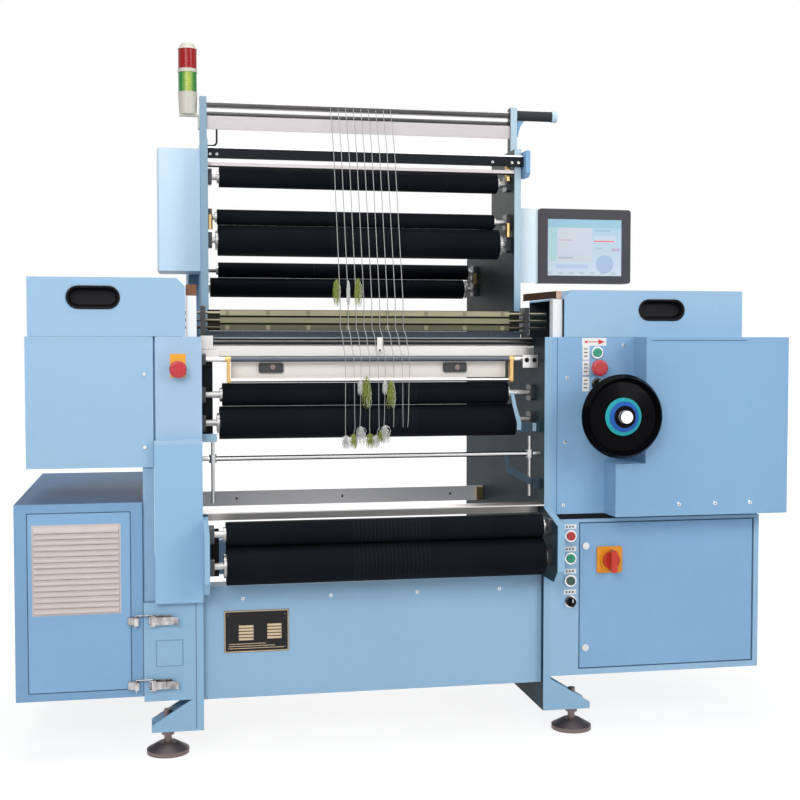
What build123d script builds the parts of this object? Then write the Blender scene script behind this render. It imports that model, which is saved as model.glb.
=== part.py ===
from build123d import *
import os

os.makedirs("parts", exist_ok=True)

# Overall reach, measured from the middle of the working width and from the front of the side frames
left_reach = 846.0
right_reach = 1026.0
wheel_reach = 150.0
frame_depth = 800.0
bed_x = (left_reach - right_reach) / 2

# Clearances
fit = 0.08
slide_gap = 0.3
door_gap = 1.5
overrun = 2.0

# Side frames
frame_gap = 836.0
plate = 18.0
ground_clear = 57.0
leg_depth = 260.0
arch_height = 250.0
deck_z = 988.0
tower_front = 275.0
tower_depth = 235.0
tower_top = 1490.0
shoulder_z = 1230.0
shoulder_top = 1330.0
post_depth = 30.0
post_mid_y = 330.0
post_top = 1607.0
corner_radius = 40.0
cover_step = 12.0
nose_thickness = 12.0
nose_reach = 110.0
nose_root = 50.0
nose_bottom = 395.0
nose_top = 565.0
nose_chamfer = 30.0
leg_panel_width = 120.0
leg_panel_bottom = 132.0
leg_panel_top = 366.0
leg_panel_sheet = 6.0
rear_panel_inset = 100.0
left_tower_inset = 9.0
left_tower_reach = 20.0
tower_root = 88.0
tower_lap = 20.0

# Foot brackets and levelling feet
bracket_reach = 104.0
bracket_depth = 64.0
bracket_height = 80.0
bracket_toe = 16.0
bracket_plate = 10.0
bracket_rib = 8.0
foot_inset = 66.0
foot_radius = 50.0
foot_pad = 10.0
foot_cone_top = 26.0
foot_cone_radius = 22.0
stud_radius = 9.0
stud_top = 104.0
nut_radius = 15.0
nut_height = 13.0
rear_reach = frame_depth - bracket_depth / 2 + foot_radius
front_y = (wheel_reach - rear_reach) / 2

# Cross beams
beam_front = 20.0
beam_depth = 60.0
beam_bottom = 125.0
beam_top = 395.0
beam_sheet = 6.0
rear_beam_inset = 100.0
rear_beam_depth = 60.0
rear_beam_bottom = 300.0
rear_beam_height = 100.0
bed_beam_y = 162.0
bed_beam_depth = 68.0
bed_beam_drop = 53.0
bed_beam_height = 50.0
tube_wall = 5.0

# Left gear case, hood and covers
sheet = 3.0
case_depth = 300.0
left_case_reach = 817.0
left_case_bottom = 684.0
gear_cover_edge = 530.0
hood_lift = 0.5
left_hood_outer = 811.0
left_hood_inner = 455.0
left_hood_height = 136.0
right_hood_outer = 939.0
right_hood_inner = 468.0
right_hood_height = 116.0
hood_chamfer = 20.0
grip_length = 112.0
grip_height = 44.0
grip_depth = 22.0
grip_wall = 3.0
left_grip_x = -664.0
left_grip_rise = 90.0
right_grip_x = 722.0
right_grip_rise = 68.0
shog_box_length = 240.0
shog_box_depth = 120.0
shog_box_height = 92.0
shog_box_inner = 506.0
column_cover_width = 107.0
column_cover_height = 241.0
lower_cover_width = 111.0
lower_cover_proud = 20.0
cover_fillet = 6.0

# Hood and door hinges
hinge_radius = 7.5
hinge_pin = 4.0
hinge_length = 38.0
hinge_lug = 18.0
hinge_end_gap = 1.0
hinge_offset = 8.0
hinge_rise = 4.0
hinge_lug_drop = 16.0
hinge_leaf = 9.0
left_hinge_near = 500.0
left_hinge_far = 740.0
right_hinge_near = 510.0
right_hinge_far = 850.0
door_pivot_inset = 3.5
door_pin = 2.0
door_pin_length = 10.0
door_block = 14.0
pivot_lug = 14.0
pivot_lug_depth = 9.0
pivot_lug_height = 6.0

# Left cabinet
cabinet_width = 290.0
cabinet_depth = 735.0
cabinet_bottom = 145.0
cabinet_top = 602.0
panel_side = 30.0
panel_top_edge = 22.0
panel_bottom_edge = 20.0
panel_sheet = 3.0
panel_gap = 0.5
panel_lip = 8.0
louvre_side = 9.0
louvre_top_edge = 26.0
louvre_width = 200.0
louvre_height = 210.0
louvre_slats = 15
louvre_proud = 6.0
louvre_border = 5.0
slat_edge_share = 0.75
motor_radius = 88.0
motor_length = 200.0
motor_y = 400.0
motor_cowl = 40.0
motor_cowl_radius = 80.0
motor_shaft_radius = 14.0
motor_shaft_length = 30.0
motor_foot_width = 150.0
motor_foot_length = 140.0
motor_foot_drop_share = 0.5

# Draw latches between the cabinet and the leg
latch_low_z = 172.0
latch_high_z = 324.0
latch_pivot_x = 536.0
latch_pivot_y = 9.0
latch_barrel = 4.0
latch_pin = 1.6
latch_width = 18.0
latch_length = 52.0
latch_sheet = 3.0
latch_base_length = 46.0
latch_base_sheet = 2.0
latch_ear = 3.0
latch_ear_length = 14.0
latch_curl = 7.0
bail_wire = 3.0
bail_length = 38.0
bail_offset = 2.0
keeper_length = 20.0
keeper_lip = 4.0
keeper_reach = 14.0

# Left tower cover
tower_cover_width = 109.0
tower_cover_front = 322.0
tower_cover_depth = 160.0
tower_cover_bottom = 1160.0
tower_cover_top = 1474.0
tower_cover_chamfer = 5.0

# Signal lamp
lamp_x = 438.0
lamp_y = 330.0
lamp_radius = 25.0
lamp_bottom = 1561.0
lamp_base_height = 56.0
lamp_base_radius = 22.0
lens_height = 50.0
lens_radius = 24.0
lamp_ring = 9.0
lamp_dome = 14.0
lamp_bracket_sheet = 4.0
lamp_bracket_drop = 36.0
lamp_spigot_radius = 17.0
lens_wall = 2.5
cable_radius = 2.5
cable_high_z = 1552.0
cable_low_z = 1483.0
cable_reach = 26.0
cable_bend = 12.0

# Right gear case and main cover
right_case_edge = 651.0
right_case_bottom = 549.0
main_cover_proud = 80.0
main_cover_step_x = 574.0
main_cover_step = 130.0
case_wall = 4.0
wheel_x = 575.0
wheel_drop = 191.0
wheel_radius = 103.0
wheel_rim = 20.0
wheel_rim_depth = 40.0
wheel_disc = 8.0
wheel_disc_y = 118.0
wheel_ring_radius = 44.0
wheel_ring_proud = 10.0
wheel_boss_radius = 28.0
wheel_nose_radius = 15.0
wheel_hub_back = 92.0
wheel_hub_radius = 24.0
shaft_radius = 15.0
shaft_depth = 54.0
bearing_boss_radius = 28.0
bearing_boss_depth = 56.0

# Right cabinet and door
right_cabinet_edge = 992.0
right_cabinet_depth = 560.0
right_cabinet_bottom = 143.0
right_cabinet_top = 535.0
door_left = 512.0
door_right = 975.0
door_bottom = 161.0
door_top = 524.0
door_depth = 18.0
lock_radius = 9.0
lock_proud = 5.0
lock_edge = 14.0
lock_low_z = 212.0
lock_high_z = 468.0
switch_x = 588.0
switch_z = 432.0
switch_side = 66.0
switch_plate = 5.0
switch_collar_radius = 26.0
switch_collar = 6.0
switch_bore = 7.0
switch_knob_radius = 21.0
switch_knob_depth = 10.0
switch_grip_length = 56.0
switch_grip_width = 16.0
switch_grip_depth = 20.0
switch_stem = 20.0
gear_plate_margin = 40.0
gear_plate = 4.0
gear_standoff = 12.0
gear_standoff_radius = 8.0
gear_unit_depth = 120.0
gear_unit_width = 110.0
gear_unit_height = 190.0
gear_row_height = 70.0
gear_row_depth = 80.0
gear_gap = 28.0

# Operator panel
monitor_front = 322.0
monitor_left = 500.0
monitor_width = 264.0
monitor_bottom = 1138.0
monitor_height = 202.0
monitor_depth = 44.0
monitor_fillet = 8.0
screen_recess = 2.0
screen_width = 212.0
screen_height = 156.0
screen_drop = 5.0
bracket_y = 330.0
bracket_sheet = 4.0
bracket_flange = 60.0

# Control buttons and selectors
bezel_radius = 15.0
bezel_height = 6.0
cap_radius = 11.0
cap_proud = 5.0
cap_inside = 6.0
cap_gap = 0.25
head_radius = 20.0
head_depth = 16.0
head_lift = 10.0
head_stem = 10.0
knob_radius = 12.0
knob_depth = 8.0
knob_bar = 7.0
knob_bar_depth = 10.0
left_stop_x = -473.0
left_stop_drop = 76.0
panel_control_x = 552.0
start_drop = 38.0
right_stop_drop = 76.0
panel_selector_drop = 116.0
strip_x = 486.0
strip_stop_z = 494.0
strip_start_z = 438.0
strip_lamp_z = 382.0
strip_selector_z = 330.0

# Rollers
journal_radius = 8.0
hub_length = 6.0
hub_share = 0.62
nip_gap = 0.3
block_side = 40.0
block_depth = 12.0
journal_end_gap = 1.0
block_fillet = 5.0
sprocket_teeth = 22
sprocket_radius = 26.0
sprocket_tooth = 4.0
sprocket_width = 5.0
tower_roller_y = 330.0
top_roller_z = 1403.0
top_roller_radius = 26.0
top_left = 360.0
top_right = 382.0
front_feed_z = 1240.0
front_feed_radius = 40.0
front_feed_left = 364.0
front_feed_right = 385.0
front_press_radius = 20.0
front_press_left = 366.0
front_press_right = 373.0
rear_feed_inset = 110.0
rear_feed_z = 1135.0
rear_feed_radius = 28.0
rear_feed_left = 370.0
rear_feed_right = 377.0
rear_press_radius = 22.0
rear_press_left = 347.0
rear_press_right = 391.0
middle_y = 100.0
middle_z = 780.0
middle_radius = 40.0
middle_left = 373.0
middle_right = 367.0
middle_press_radius = 28.0
middle_press_left = 366.0
middle_press_right = 347.0
draw_y = -50.0
draw_z = 455.0
draw_radius = 45.0
draw_left = 366.0
draw_right = 397.0
draw_press_radius = 29.0
draw_press_left = 367.0
draw_press_right = 394.0

# Bars across the tower
top_tube_z = 1588.0
top_tube_radius = 9.0
top_tube_reach = 114.0
top_tube_cap = 14.0
top_tube_cap_radius = 15.0
top_sleeve_radius = 13.5
top_sleeve_gap = 1.0
gusset_reach = 44.0
gusset_drop = 62.0
gusset_sheet = 12.0
gusset_edge = 6.0
second_tube_y = 334.0
second_tube_z = 1566.0
second_tube_radius = 6.0
deflector_y = 322.0
deflector_z = 1542.0
deflector_sheet = 4.0
deflector_height = 34.0
tension_bar_z = 1456.0
tension_bar_height = 26.0
tension_bar_sheet = 12.0
tension_edge_radius = 2.5
flat_bar_y = 279.0
flat_bar_z = 1429.0
flat_bar_height = 10.0
flat_bar_sheet = 6.0
flat_edge_radius = 2.5
end_bracket_x = 440.0
end_bracket_width = 12.0
end_bracket_front = 243.0
end_bracket_depth = 57.0
end_bracket_bottom = 1414.0
end_bracket_top = 1482.0
end_bracket_sheet = 12.0
end_bracket_chamfer = 10.0

# Bars across the knitting zone
rail_y = 110.0
rail_drop = 14.5
rail_radius = 4.0
rail_pitch = 10.0
rear_bar_y = 600.0
rear_bar_z = 534.0
rear_bar_height = 42.0
rear_bar_sheet = 8.0
cross_rod_y = 40.0
cross_rod_z = 698.0
cross_rod_radius = 6.0
adjuster_x = 392.0
adjuster_top = 742.0
adjuster_bottom = 566.0
adjuster_radius = 4.0
adjuster_knob_radius = 9.0
adjuster_knob = 20.0
trough_y = -2.0
trough_z = 574.0
trough_depth = 56.0
trough_lip = 26.0
trough_sheet = 3.0
end_post_width = 24.0
end_post_depth = 26.0
left_post_x = 453.0
left_post_height = 122.0
right_post_x = 442.0
right_post_height = 94.0

# Guide bars and their lifting carrier
guide_y = 150.0
guide_rise = 24.0
guide_pitch = 18.0
guide_depth = 8.0
guide_height = 13.0
guide_half = 388.0
guide_rod_radius = 3.5
guide_rod_reach = 468.0
guide_shog = 20.0
carrier_lift = 12.0
carrier_gap = 2.0
carrier_thickness = 12.0
carrier_front = 128.0
carrier_back = 176.0
carrier_rise = 8.0
carrier_height = 68.0
carrier_tie_y = 168.0
carrier_tie_radius = 5.0
carrier_post_y = 141.0
carrier_post_radius = 6.0
carrier_post_drop = 62.0
carrier_bush_depth = 26.0
carrier_bush_width = 16.0
carrier_bush_height = 60.0

# Needle bed, needle bar and rocker bar
bed_y = 94.0
bed_depth = 30.0
bed_drop = 46.0
bed_height = 24.0
clip_x = 20.0
clip_width = 12.0
clip_height = 34.0
clip_sheet = 4.0
needle_half = 344.0
needle_y = 96.0
needle_sheet = 8.0
needle_drop = 100.0
needle_height = 40.0
needle_rod_radius = 7.0
needle_rod_drop = 75.0
needle_rod_end = 252.0
needle_rod_left = -248.0
needle_rod_right = 212.0
needle_cap_width = 60.0
needle_cap_height = 24.0
needle_cap = 7.0
needle_guide_width = 56.0
needle_guide_depth = 46.0
needle_guide_y = 168.0
needle_guide_drop = 92.0
rocker_y = 72.0
rocker_shaft_drop = 54.0
rocker_radius = 6.0
rocker_link_x = 352.0
rocker_link_width = 16.0
rocker_link = 8.0
rocker_drop = 52.0
rocker_rod_radius = 4.0
rocker_block = 28.0

# Yarn ends
yarn_radius = 1.0
yarn_lift = 0.6
yarn_count = 9
yarn_first_x = -70.0
yarn_pitch = 20.0
yarn_bend = 12.0

# Places that follow from the sizes above
half_gap = frame_gap / 2
outer_x = half_gap + plate
right_case_height = deck_z - right_case_bottom
tower_back = tower_front + tower_depth
left_tower_front = tower_front - left_tower_reach
left_tower_outer = half_gap - left_tower_inset
left_tower_inner = left_tower_outer - plate
rear_panel_y = frame_depth - rear_panel_inset
rear_beam_y = frame_depth - rear_beam_inset
rear_feed_y = frame_depth - rear_feed_inset
left_grip_z = deck_z + left_grip_rise
right_grip_z = deck_z + right_grip_rise
column_cover_bottom = deck_z - column_cover_height
main_cover_step_z = right_case_bottom + main_cover_step
wheel_z = deck_z - wheel_drop
left_stop_z = deck_z - left_stop_drop
start_z = deck_z - start_drop
right_stop_z = deck_z - right_stop_drop
panel_selector_z = deck_z - panel_selector_drop
rail_z = deck_z - rail_drop
guide_z = deck_z + guide_rise
carrier_bottom = deck_z + carrier_rise
carrier_top = carrier_bottom + carrier_height
bed_beam_bottom = deck_z - bed_beam_drop
bed_bottom = deck_z - bed_drop
needle_bottom = deck_z - needle_drop
needle_rod_z = deck_z - needle_rod_drop
needle_guide_bottom = deck_z - needle_guide_drop
rocker_z = deck_z - rocker_shaft_drop
door_pivot_x = door_right - door_pivot_inset


def side_plane(x):
    """Plane across the machine at x, drawn in depth and height."""
    return Plane(origin=(bed_x + x, front_y, 0), x_dir=(0, 1, 0), z_dir=(1, 0, 0))


def front_plane(y):
    """Plane facing the operator at depth y, drawn in width and height; a negative extrude goes back."""
    return Plane(origin=(bed_x, front_y + y, 0), x_dir=(1, 0, 0), z_dir=(0, -1, 0))


def floor_plane(z):
    """Level plane at height z, drawn in width and depth."""
    return Plane(origin=(bed_x, front_y, z))


def span(a, b, c, d, mode=Mode.ADD):
    """Rectangle from a to b along the sketch's first axis and from c to d along its second."""
    with Locations(((a + b) / 2, (c + d) / 2)):
        Rectangle(abs(b - a), abs(d - c), mode=mode)


def disc(x, y, radius, mode=Mode.ADD):
    with Locations((x, y)):
        Circle(radius, mode=mode)


def write(piece, name):
    piece.part.label = name
    export_step(piece.part, f"parts/{name}.step")


# Side frames: a thick plate with a tower and a yarn post; the left tower stands inside its plate
def side_frame(name, side):
    inner = side * half_gap
    tower_inner = half_gap if side > 0 else -left_tower_inner
    tower_edge = tower_front if side > 0 else left_tower_front
    nose = plate if side > 0 else nose_thickness
    with BuildPart() as frame:
        with BuildSketch(side_plane(inner)):
            with BuildLine():
                Polyline(
                    (0, ground_clear),
                    (leg_depth, ground_clear),
                    (leg_depth, arch_height),
                    (frame_depth - leg_depth, arch_height),
                    (frame_depth - leg_depth, ground_clear),
                    (frame_depth, ground_clear),
                    (frame_depth, shoulder_z),
                    (tower_back, shoulder_top),
                    (tower_back - tower_lap, shoulder_top),
                    (tower_back - tower_lap, deck_z),
                    (0, deck_z),
                    close=True,
                )
            make_face()
            if side < 0:
                span(0, cover_step, leg_panel_top, deck_z, mode=Mode.SUBTRACT)
        extrude(amount=side * plate)
        arch = frame.edges().filter_by(Axis.X).group_by(Axis.Z)[1]
        fillet(arch, radius=corner_radius)
        with BuildSketch(side_plane(inner)):
            with BuildLine():
                Polyline(
                    (nose_root, nose_bottom),
                    (nose_root, nose_top),
                    (0, nose_top),
                    (-nose_reach, nose_top - nose_chamfer),
                    (-nose_reach, nose_bottom + nose_chamfer),
                    (-nose_reach + nose_chamfer, nose_bottom),
                    close=True,
                )
            make_face()
        extrude(amount=nose)
        with BuildSketch(side_plane(tower_inner)):
            span(tower_edge, tower_back, deck_z - tower_root, tower_top)
            span(post_mid_y - post_depth / 2, post_mid_y + post_depth / 2, tower_top, post_top)
            disc(post_mid_y, top_tube_z, top_tube_radius + fit, mode=Mode.SUBTRACT)
        extrude(amount=side * plate)
        for bracket_y0 in (0, frame_depth - bracket_depth):
            with BuildSketch(front_plane(bracket_y0)):
                with BuildLine():
                    Polyline(
                        (side * outer_x, ground_clear),
                        (side * (outer_x + bracket_reach), ground_clear),
                        (side * (outer_x + bracket_reach), ground_clear + bracket_toe),
                        (side * outer_x, ground_clear + bracket_height),
                        close=True,
                    )
                make_face()
            extrude(amount=-bracket_depth)
            with BuildSketch(front_plane(bracket_y0 + bracket_rib)):
                span(
                    side * outer_x,
                    side * (outer_x + bracket_reach + overrun),
                    ground_clear + bracket_plate,
                    ground_clear + bracket_height,
                )
            extrude(amount=-(bracket_depth - 2 * bracket_rib), mode=Mode.SUBTRACT)
            with BuildSketch(floor_plane(ground_clear)):
                disc(side * (outer_x + foot_inset), bracket_y0 + bracket_depth / 2, stud_radius + fit)
            extrude(amount=bracket_plate, mode=Mode.SUBTRACT)
        if side < 0:
            with BuildSketch(side_plane(-half_gap)):
                span(tower_front, tower_back, deck_z - tower_root, deck_z)
                span(tower_back - tower_lap, tower_back, deck_z, shoulder_top)
            extrude(amount=left_tower_inset)
            for panel_y in (0, rear_panel_y):
                with BuildSketch(front_plane(panel_y)):
                    span(-outer_x, -outer_x - leg_panel_width, leg_panel_bottom, leg_panel_top)
                extrude(amount=-leg_panel_sheet)
    write(frame, name)


side_frame("left_side_frame", -1)
side_frame("right_side_frame", 1)


# Levelling feet, turned in one piece with their studs and lock nuts
with BuildPart() as levelling_feet:
    for side in (-1, 1):
        for bracket_y0 in (0, frame_depth - bracket_depth):
            foot_x = bed_x + side * (outer_x + foot_inset)
            foot_y = front_y + bracket_y0 + bracket_depth / 2
            with BuildSketch(Plane(origin=(foot_x, foot_y, 0), x_dir=(1, 0, 0), z_dir=(0, -1, 0))):
                with BuildLine():
                    Polyline(
                        (0, 0),
                        (foot_radius, 0),
                        (foot_radius, foot_pad),
                        (foot_cone_radius, foot_cone_top),
                        (stud_radius, foot_cone_top),
                        (stud_radius, ground_clear - nut_height),
                        (nut_radius, ground_clear - nut_height),
                        (nut_radius, ground_clear),
                        (stud_radius, ground_clear),
                        (stud_radius, stud_top),
                        (0, stud_top),
                        close=True,
                    )
                make_face()
            revolve(axis=Axis((foot_x, foot_y, 0), (0, 0, 1)))
write(levelling_feet, "levelling_feet")


# Front beam: a folded channel between the legs
with BuildPart() as front_beam:
    with BuildSketch(side_plane(-half_gap)):
        span(beam_front, beam_front + beam_depth, beam_bottom, beam_top)
        span(
            beam_front + beam_sheet,
            beam_front + beam_depth + overrun,
            beam_bottom + beam_sheet,
            beam_top - beam_sheet,
            mode=Mode.SUBTRACT,
        )
    extrude(amount=frame_gap)
write(front_beam, "front_beam")


# Rectangular tubes behind and under the knitting zone
def cross_tube(name, y, depth, bottom, height):
    with BuildPart() as tube:
        with BuildSketch(side_plane(-half_gap)):
            span(y, y + depth, bottom, bottom + height)
            span(
                y + tube_wall,
                y + depth - tube_wall,
                bottom + tube_wall,
                bottom + height - tube_wall,
                mode=Mode.SUBTRACT,
            )
        extrude(amount=frame_gap)
    write(tube, name)


cross_tube("rear_beam", rear_beam_y, rear_beam_depth, rear_beam_bottom, rear_beam_height)
cross_tube("bed_beam", bed_beam_y, bed_beam_depth, bed_beam_bottom, bed_beam_height)


def hinge_lugs(places, pin_out):
    """Lugs on the back of a case, each with a pin that points along pin_out."""
    for x in places:
        with BuildSketch(side_plane(x)) as lug:
            disc(case_depth + hinge_offset, deck_z + hinge_rise, hinge_radius)
            span(case_depth, case_depth + hinge_offset, deck_z + hinge_rise - hinge_lug_drop, deck_z)
        extrude(lug.sketch, amount=-pin_out * hinge_lug)
        with BuildSketch(side_plane(x)) as pin:
            disc(case_depth + hinge_offset, deck_z + hinge_rise, hinge_pin)
        extrude(pin.sketch, amount=pin_out * (hinge_length + hinge_end_gap))


# Left gear case with its front cover and the housing of the guide bar drive on its deck
with BuildPart() as left_gear_case:
    with BuildSketch(floor_plane(left_case_bottom)):
        span(-left_case_reach, -outer_x, cover_step, case_depth)
        span(-left_case_reach, -gear_cover_edge, 0, cover_step)
    extrude(amount=deck_z - left_case_bottom)
    with BuildSketch(floor_plane(left_case_bottom + sheet)):
        span(-left_case_reach + sheet, -outer_x - sheet, cover_step + sheet, case_depth - sheet)
    extrude(amount=deck_z - left_case_bottom - 2 * sheet, mode=Mode.SUBTRACT)
    with BuildSketch(floor_plane(deck_z)):
        span(
            -shog_box_inner - shog_box_length,
            -shog_box_inner,
            guide_y - shog_box_depth / 2,
            guide_y + shog_box_depth / 2,
        )
    extrude(amount=shog_box_height)
    hinge_lugs((-left_hinge_near, -left_hinge_far), 1)
write(left_gear_case, "left_gear_case")


# Hoods: open below and towards the guide bars, with a hand recess in the front
def hood(name, side, inner, outer, height, grip_x, grip_z, hinge_places):
    bottom = deck_z + hood_lift
    with BuildPart() as shell:
        with BuildSketch(front_plane(0)):
            with BuildLine():
                Polyline(
                    (side * inner, bottom),
                    (side * outer, bottom),
                    (side * outer, bottom + height),
                    (side * (inner + hood_chamfer), bottom + height),
                    (side * inner, bottom + height - hood_chamfer),
                    close=True,
                )
            make_face()
        extrude(amount=-case_depth)
        with BuildSketch(front_plane(sheet)):
            with BuildLine():
                Polyline(
                    (side * (inner - overrun), bottom - overrun),
                    (side * (outer - sheet), bottom - overrun),
                    (side * (outer - sheet), bottom + height - sheet),
                    (side * (inner + hood_chamfer), bottom + height - sheet),
                    (side * (inner - overrun), bottom + height - hood_chamfer - sheet - overrun),
                    close=True,
                )
            make_face()
        extrude(amount=-(case_depth - 2 * sheet), mode=Mode.SUBTRACT)
        with BuildSketch(front_plane(0)):
            with Locations((grip_x, grip_z)):
                SlotOverall(grip_length + 2 * grip_wall, grip_height + 2 * grip_wall)
        extrude(amount=-grip_depth - grip_wall)
        with BuildSketch(front_plane(0)):
            with Locations((grip_x, grip_z)):
                SlotOverall(grip_length, grip_height)
        extrude(amount=-grip_depth, mode=Mode.SUBTRACT)
        for x in hinge_places:
            with BuildSketch(side_plane(x + hinge_end_gap)):
                disc(case_depth + hinge_offset, deck_z + hinge_rise, hinge_radius)
                span(
                    case_depth - sheet,
                    case_depth + hinge_offset,
                    deck_z + hinge_rise,
                    deck_z + hinge_rise + hinge_radius,
                )
            extrude(amount=hinge_length - 2 * hinge_end_gap)
            with BuildSketch(side_plane(x)):
                disc(case_depth + hinge_offset, deck_z + hinge_rise, hinge_pin + fit)
            extrude(amount=hinge_length, mode=Mode.SUBTRACT)
    write(shell, name)


hood(
    "left_hood",
    -1,
    left_hood_inner,
    left_hood_outer,
    left_hood_height,
    left_grip_x,
    left_grip_z,
    (-left_hinge_near, -left_hinge_far),
)
hood(
    "right_hood",
    1,
    right_hood_inner,
    right_hood_outer,
    right_hood_height,
    right_grip_x,
    right_grip_z,
    (right_hinge_near, right_hinge_far),
)


# Column covers in front of the left side frame; the upper one carries a stop button
with BuildPart() as left_column_covers:
    with BuildSketch(front_plane(0)):
        span(-half_gap - column_cover_width, -half_gap, column_cover_bottom, deck_z)
    extrude(amount=-cover_step)
    with BuildSketch(front_plane(sheet)):
        span(
            -half_gap - column_cover_width + sheet,
            -half_gap - sheet,
            column_cover_bottom + sheet,
            deck_z - sheet,
        )
    extrude(amount=-cover_step, mode=Mode.SUBTRACT)
    with BuildSketch(front_plane(0)):
        disc(left_stop_x, left_stop_z, head_stem + cap_gap)
    extrude(amount=-sheet, mode=Mode.SUBTRACT)
    with BuildSketch(front_plane(-lower_cover_proud)):
        span(-half_gap - lower_cover_width, -half_gap, leg_panel_top, column_cover_bottom)
    extrude(amount=-(lower_cover_proud + cover_step))
    with BuildSketch(front_plane(-lower_cover_proud + sheet)):
        span(
            -half_gap - lower_cover_width + sheet,
            -half_gap - sheet,
            leg_panel_top + sheet,
            column_cover_bottom - sheet,
        )
    extrude(amount=-(lower_cover_proud + cover_step), mode=Mode.SUBTRACT)
write(left_column_covers, "left_column_covers")


# Left cabinet: a sheet box with a recessed panel in front
cabinet_right = outer_x + leg_panel_width
cabinet_left = cabinet_right + cabinet_width
panel_x0 = -cabinet_left + panel_side
panel_x1 = -cabinet_right - panel_side
panel_z0 = cabinet_bottom + panel_bottom_edge
panel_z1 = cabinet_top - panel_top_edge
with BuildPart() as left_cabinet:
    with BuildSketch(floor_plane(cabinet_bottom)):
        span(-cabinet_left, -cabinet_right, 0, cabinet_depth)
    extrude(amount=cabinet_top - cabinet_bottom)
    with BuildSketch(floor_plane(cabinet_bottom + sheet)):
        span(-cabinet_left + sheet, -cabinet_right - sheet, 2 * panel_sheet, cabinet_depth - sheet)
    extrude(amount=cabinet_top - cabinet_bottom - 2 * sheet, mode=Mode.SUBTRACT)
    with BuildSketch(front_plane(0)):
        span(panel_x0 - panel_gap, panel_x1 + panel_gap, panel_z0 - panel_gap, panel_z1 + panel_gap)
    extrude(amount=-panel_sheet, mode=Mode.SUBTRACT)
    with BuildSketch(front_plane(panel_sheet)):
        span(panel_x0 + panel_lip, panel_x1 - panel_lip, panel_z0 + panel_lip, panel_z1 - panel_lip)
    extrude(amount=-panel_sheet, mode=Mode.SUBTRACT)
write(left_cabinet, "left_cabinet")

louvre_x0 = panel_x0 + louvre_side
louvre_x1 = louvre_x0 + louvre_width
louvre_z1 = panel_z1 - louvre_top_edge
louvre_z0 = louvre_z1 - louvre_height
with BuildPart() as left_cabinet_panel:
    with BuildSketch(front_plane(0)):
        span(panel_x0, panel_x1, panel_z0, panel_z1)
        span(louvre_x0, louvre_x1, louvre_z0, louvre_z1, mode=Mode.SUBTRACT)
    extrude(amount=-panel_sheet)
write(left_cabinet_panel, "left_cabinet_panel")

slat_pitch = (louvre_height - 2 * louvre_border) / louvre_slats
with BuildPart() as louvre_grille:
    with BuildSketch(front_plane(0)):
        span(louvre_x0, louvre_x1, louvre_z0, louvre_z1)
    extrude(amount=-panel_sheet)
    for slat in range(louvre_slats):
        slat_top = louvre_z1 - louvre_border - slat * slat_pitch
        with BuildSketch(side_plane(louvre_x0 + louvre_border)):
            with BuildLine():
                Polyline(
                    (0, slat_top),
                    (-louvre_proud, slat_top - slat_pitch * slat_edge_share),
                    (-louvre_proud, slat_top - slat_pitch),
                    (0, slat_top - slat_pitch),
                    close=True,
                )
            make_face()
        extrude(amount=louvre_width - 2 * louvre_border)
write(louvre_grille, "louvre_grille")

# Drive motor on the cabinet floor
motor_x = -(cabinet_left + cabinet_right) / 2
motor_z = cabinet_bottom + sheet + motor_foot_drop_share * motor_radius + motor_radius
with BuildPart() as drive_motor:
    with BuildSketch(side_plane(motor_x - motor_length / 2)):
        disc(motor_y, motor_z, motor_radius)
    extrude(amount=motor_length)
    with BuildSketch(side_plane(motor_x - motor_length / 2)):
        disc(motor_y, motor_z, motor_cowl_radius)
    extrude(amount=-motor_cowl / 2)
    with BuildSketch(side_plane(motor_x + motor_length / 2)):
        disc(motor_y, motor_z, motor_shaft_radius)
    extrude(amount=motor_shaft_length)
    with BuildSketch(floor_plane(cabinet_bottom + sheet)):
        with Locations((motor_x, motor_y)):
            Rectangle(motor_foot_length, motor_foot_width)
    extrude(amount=motor_radius)
write(drive_motor, "drive_motor")


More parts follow.
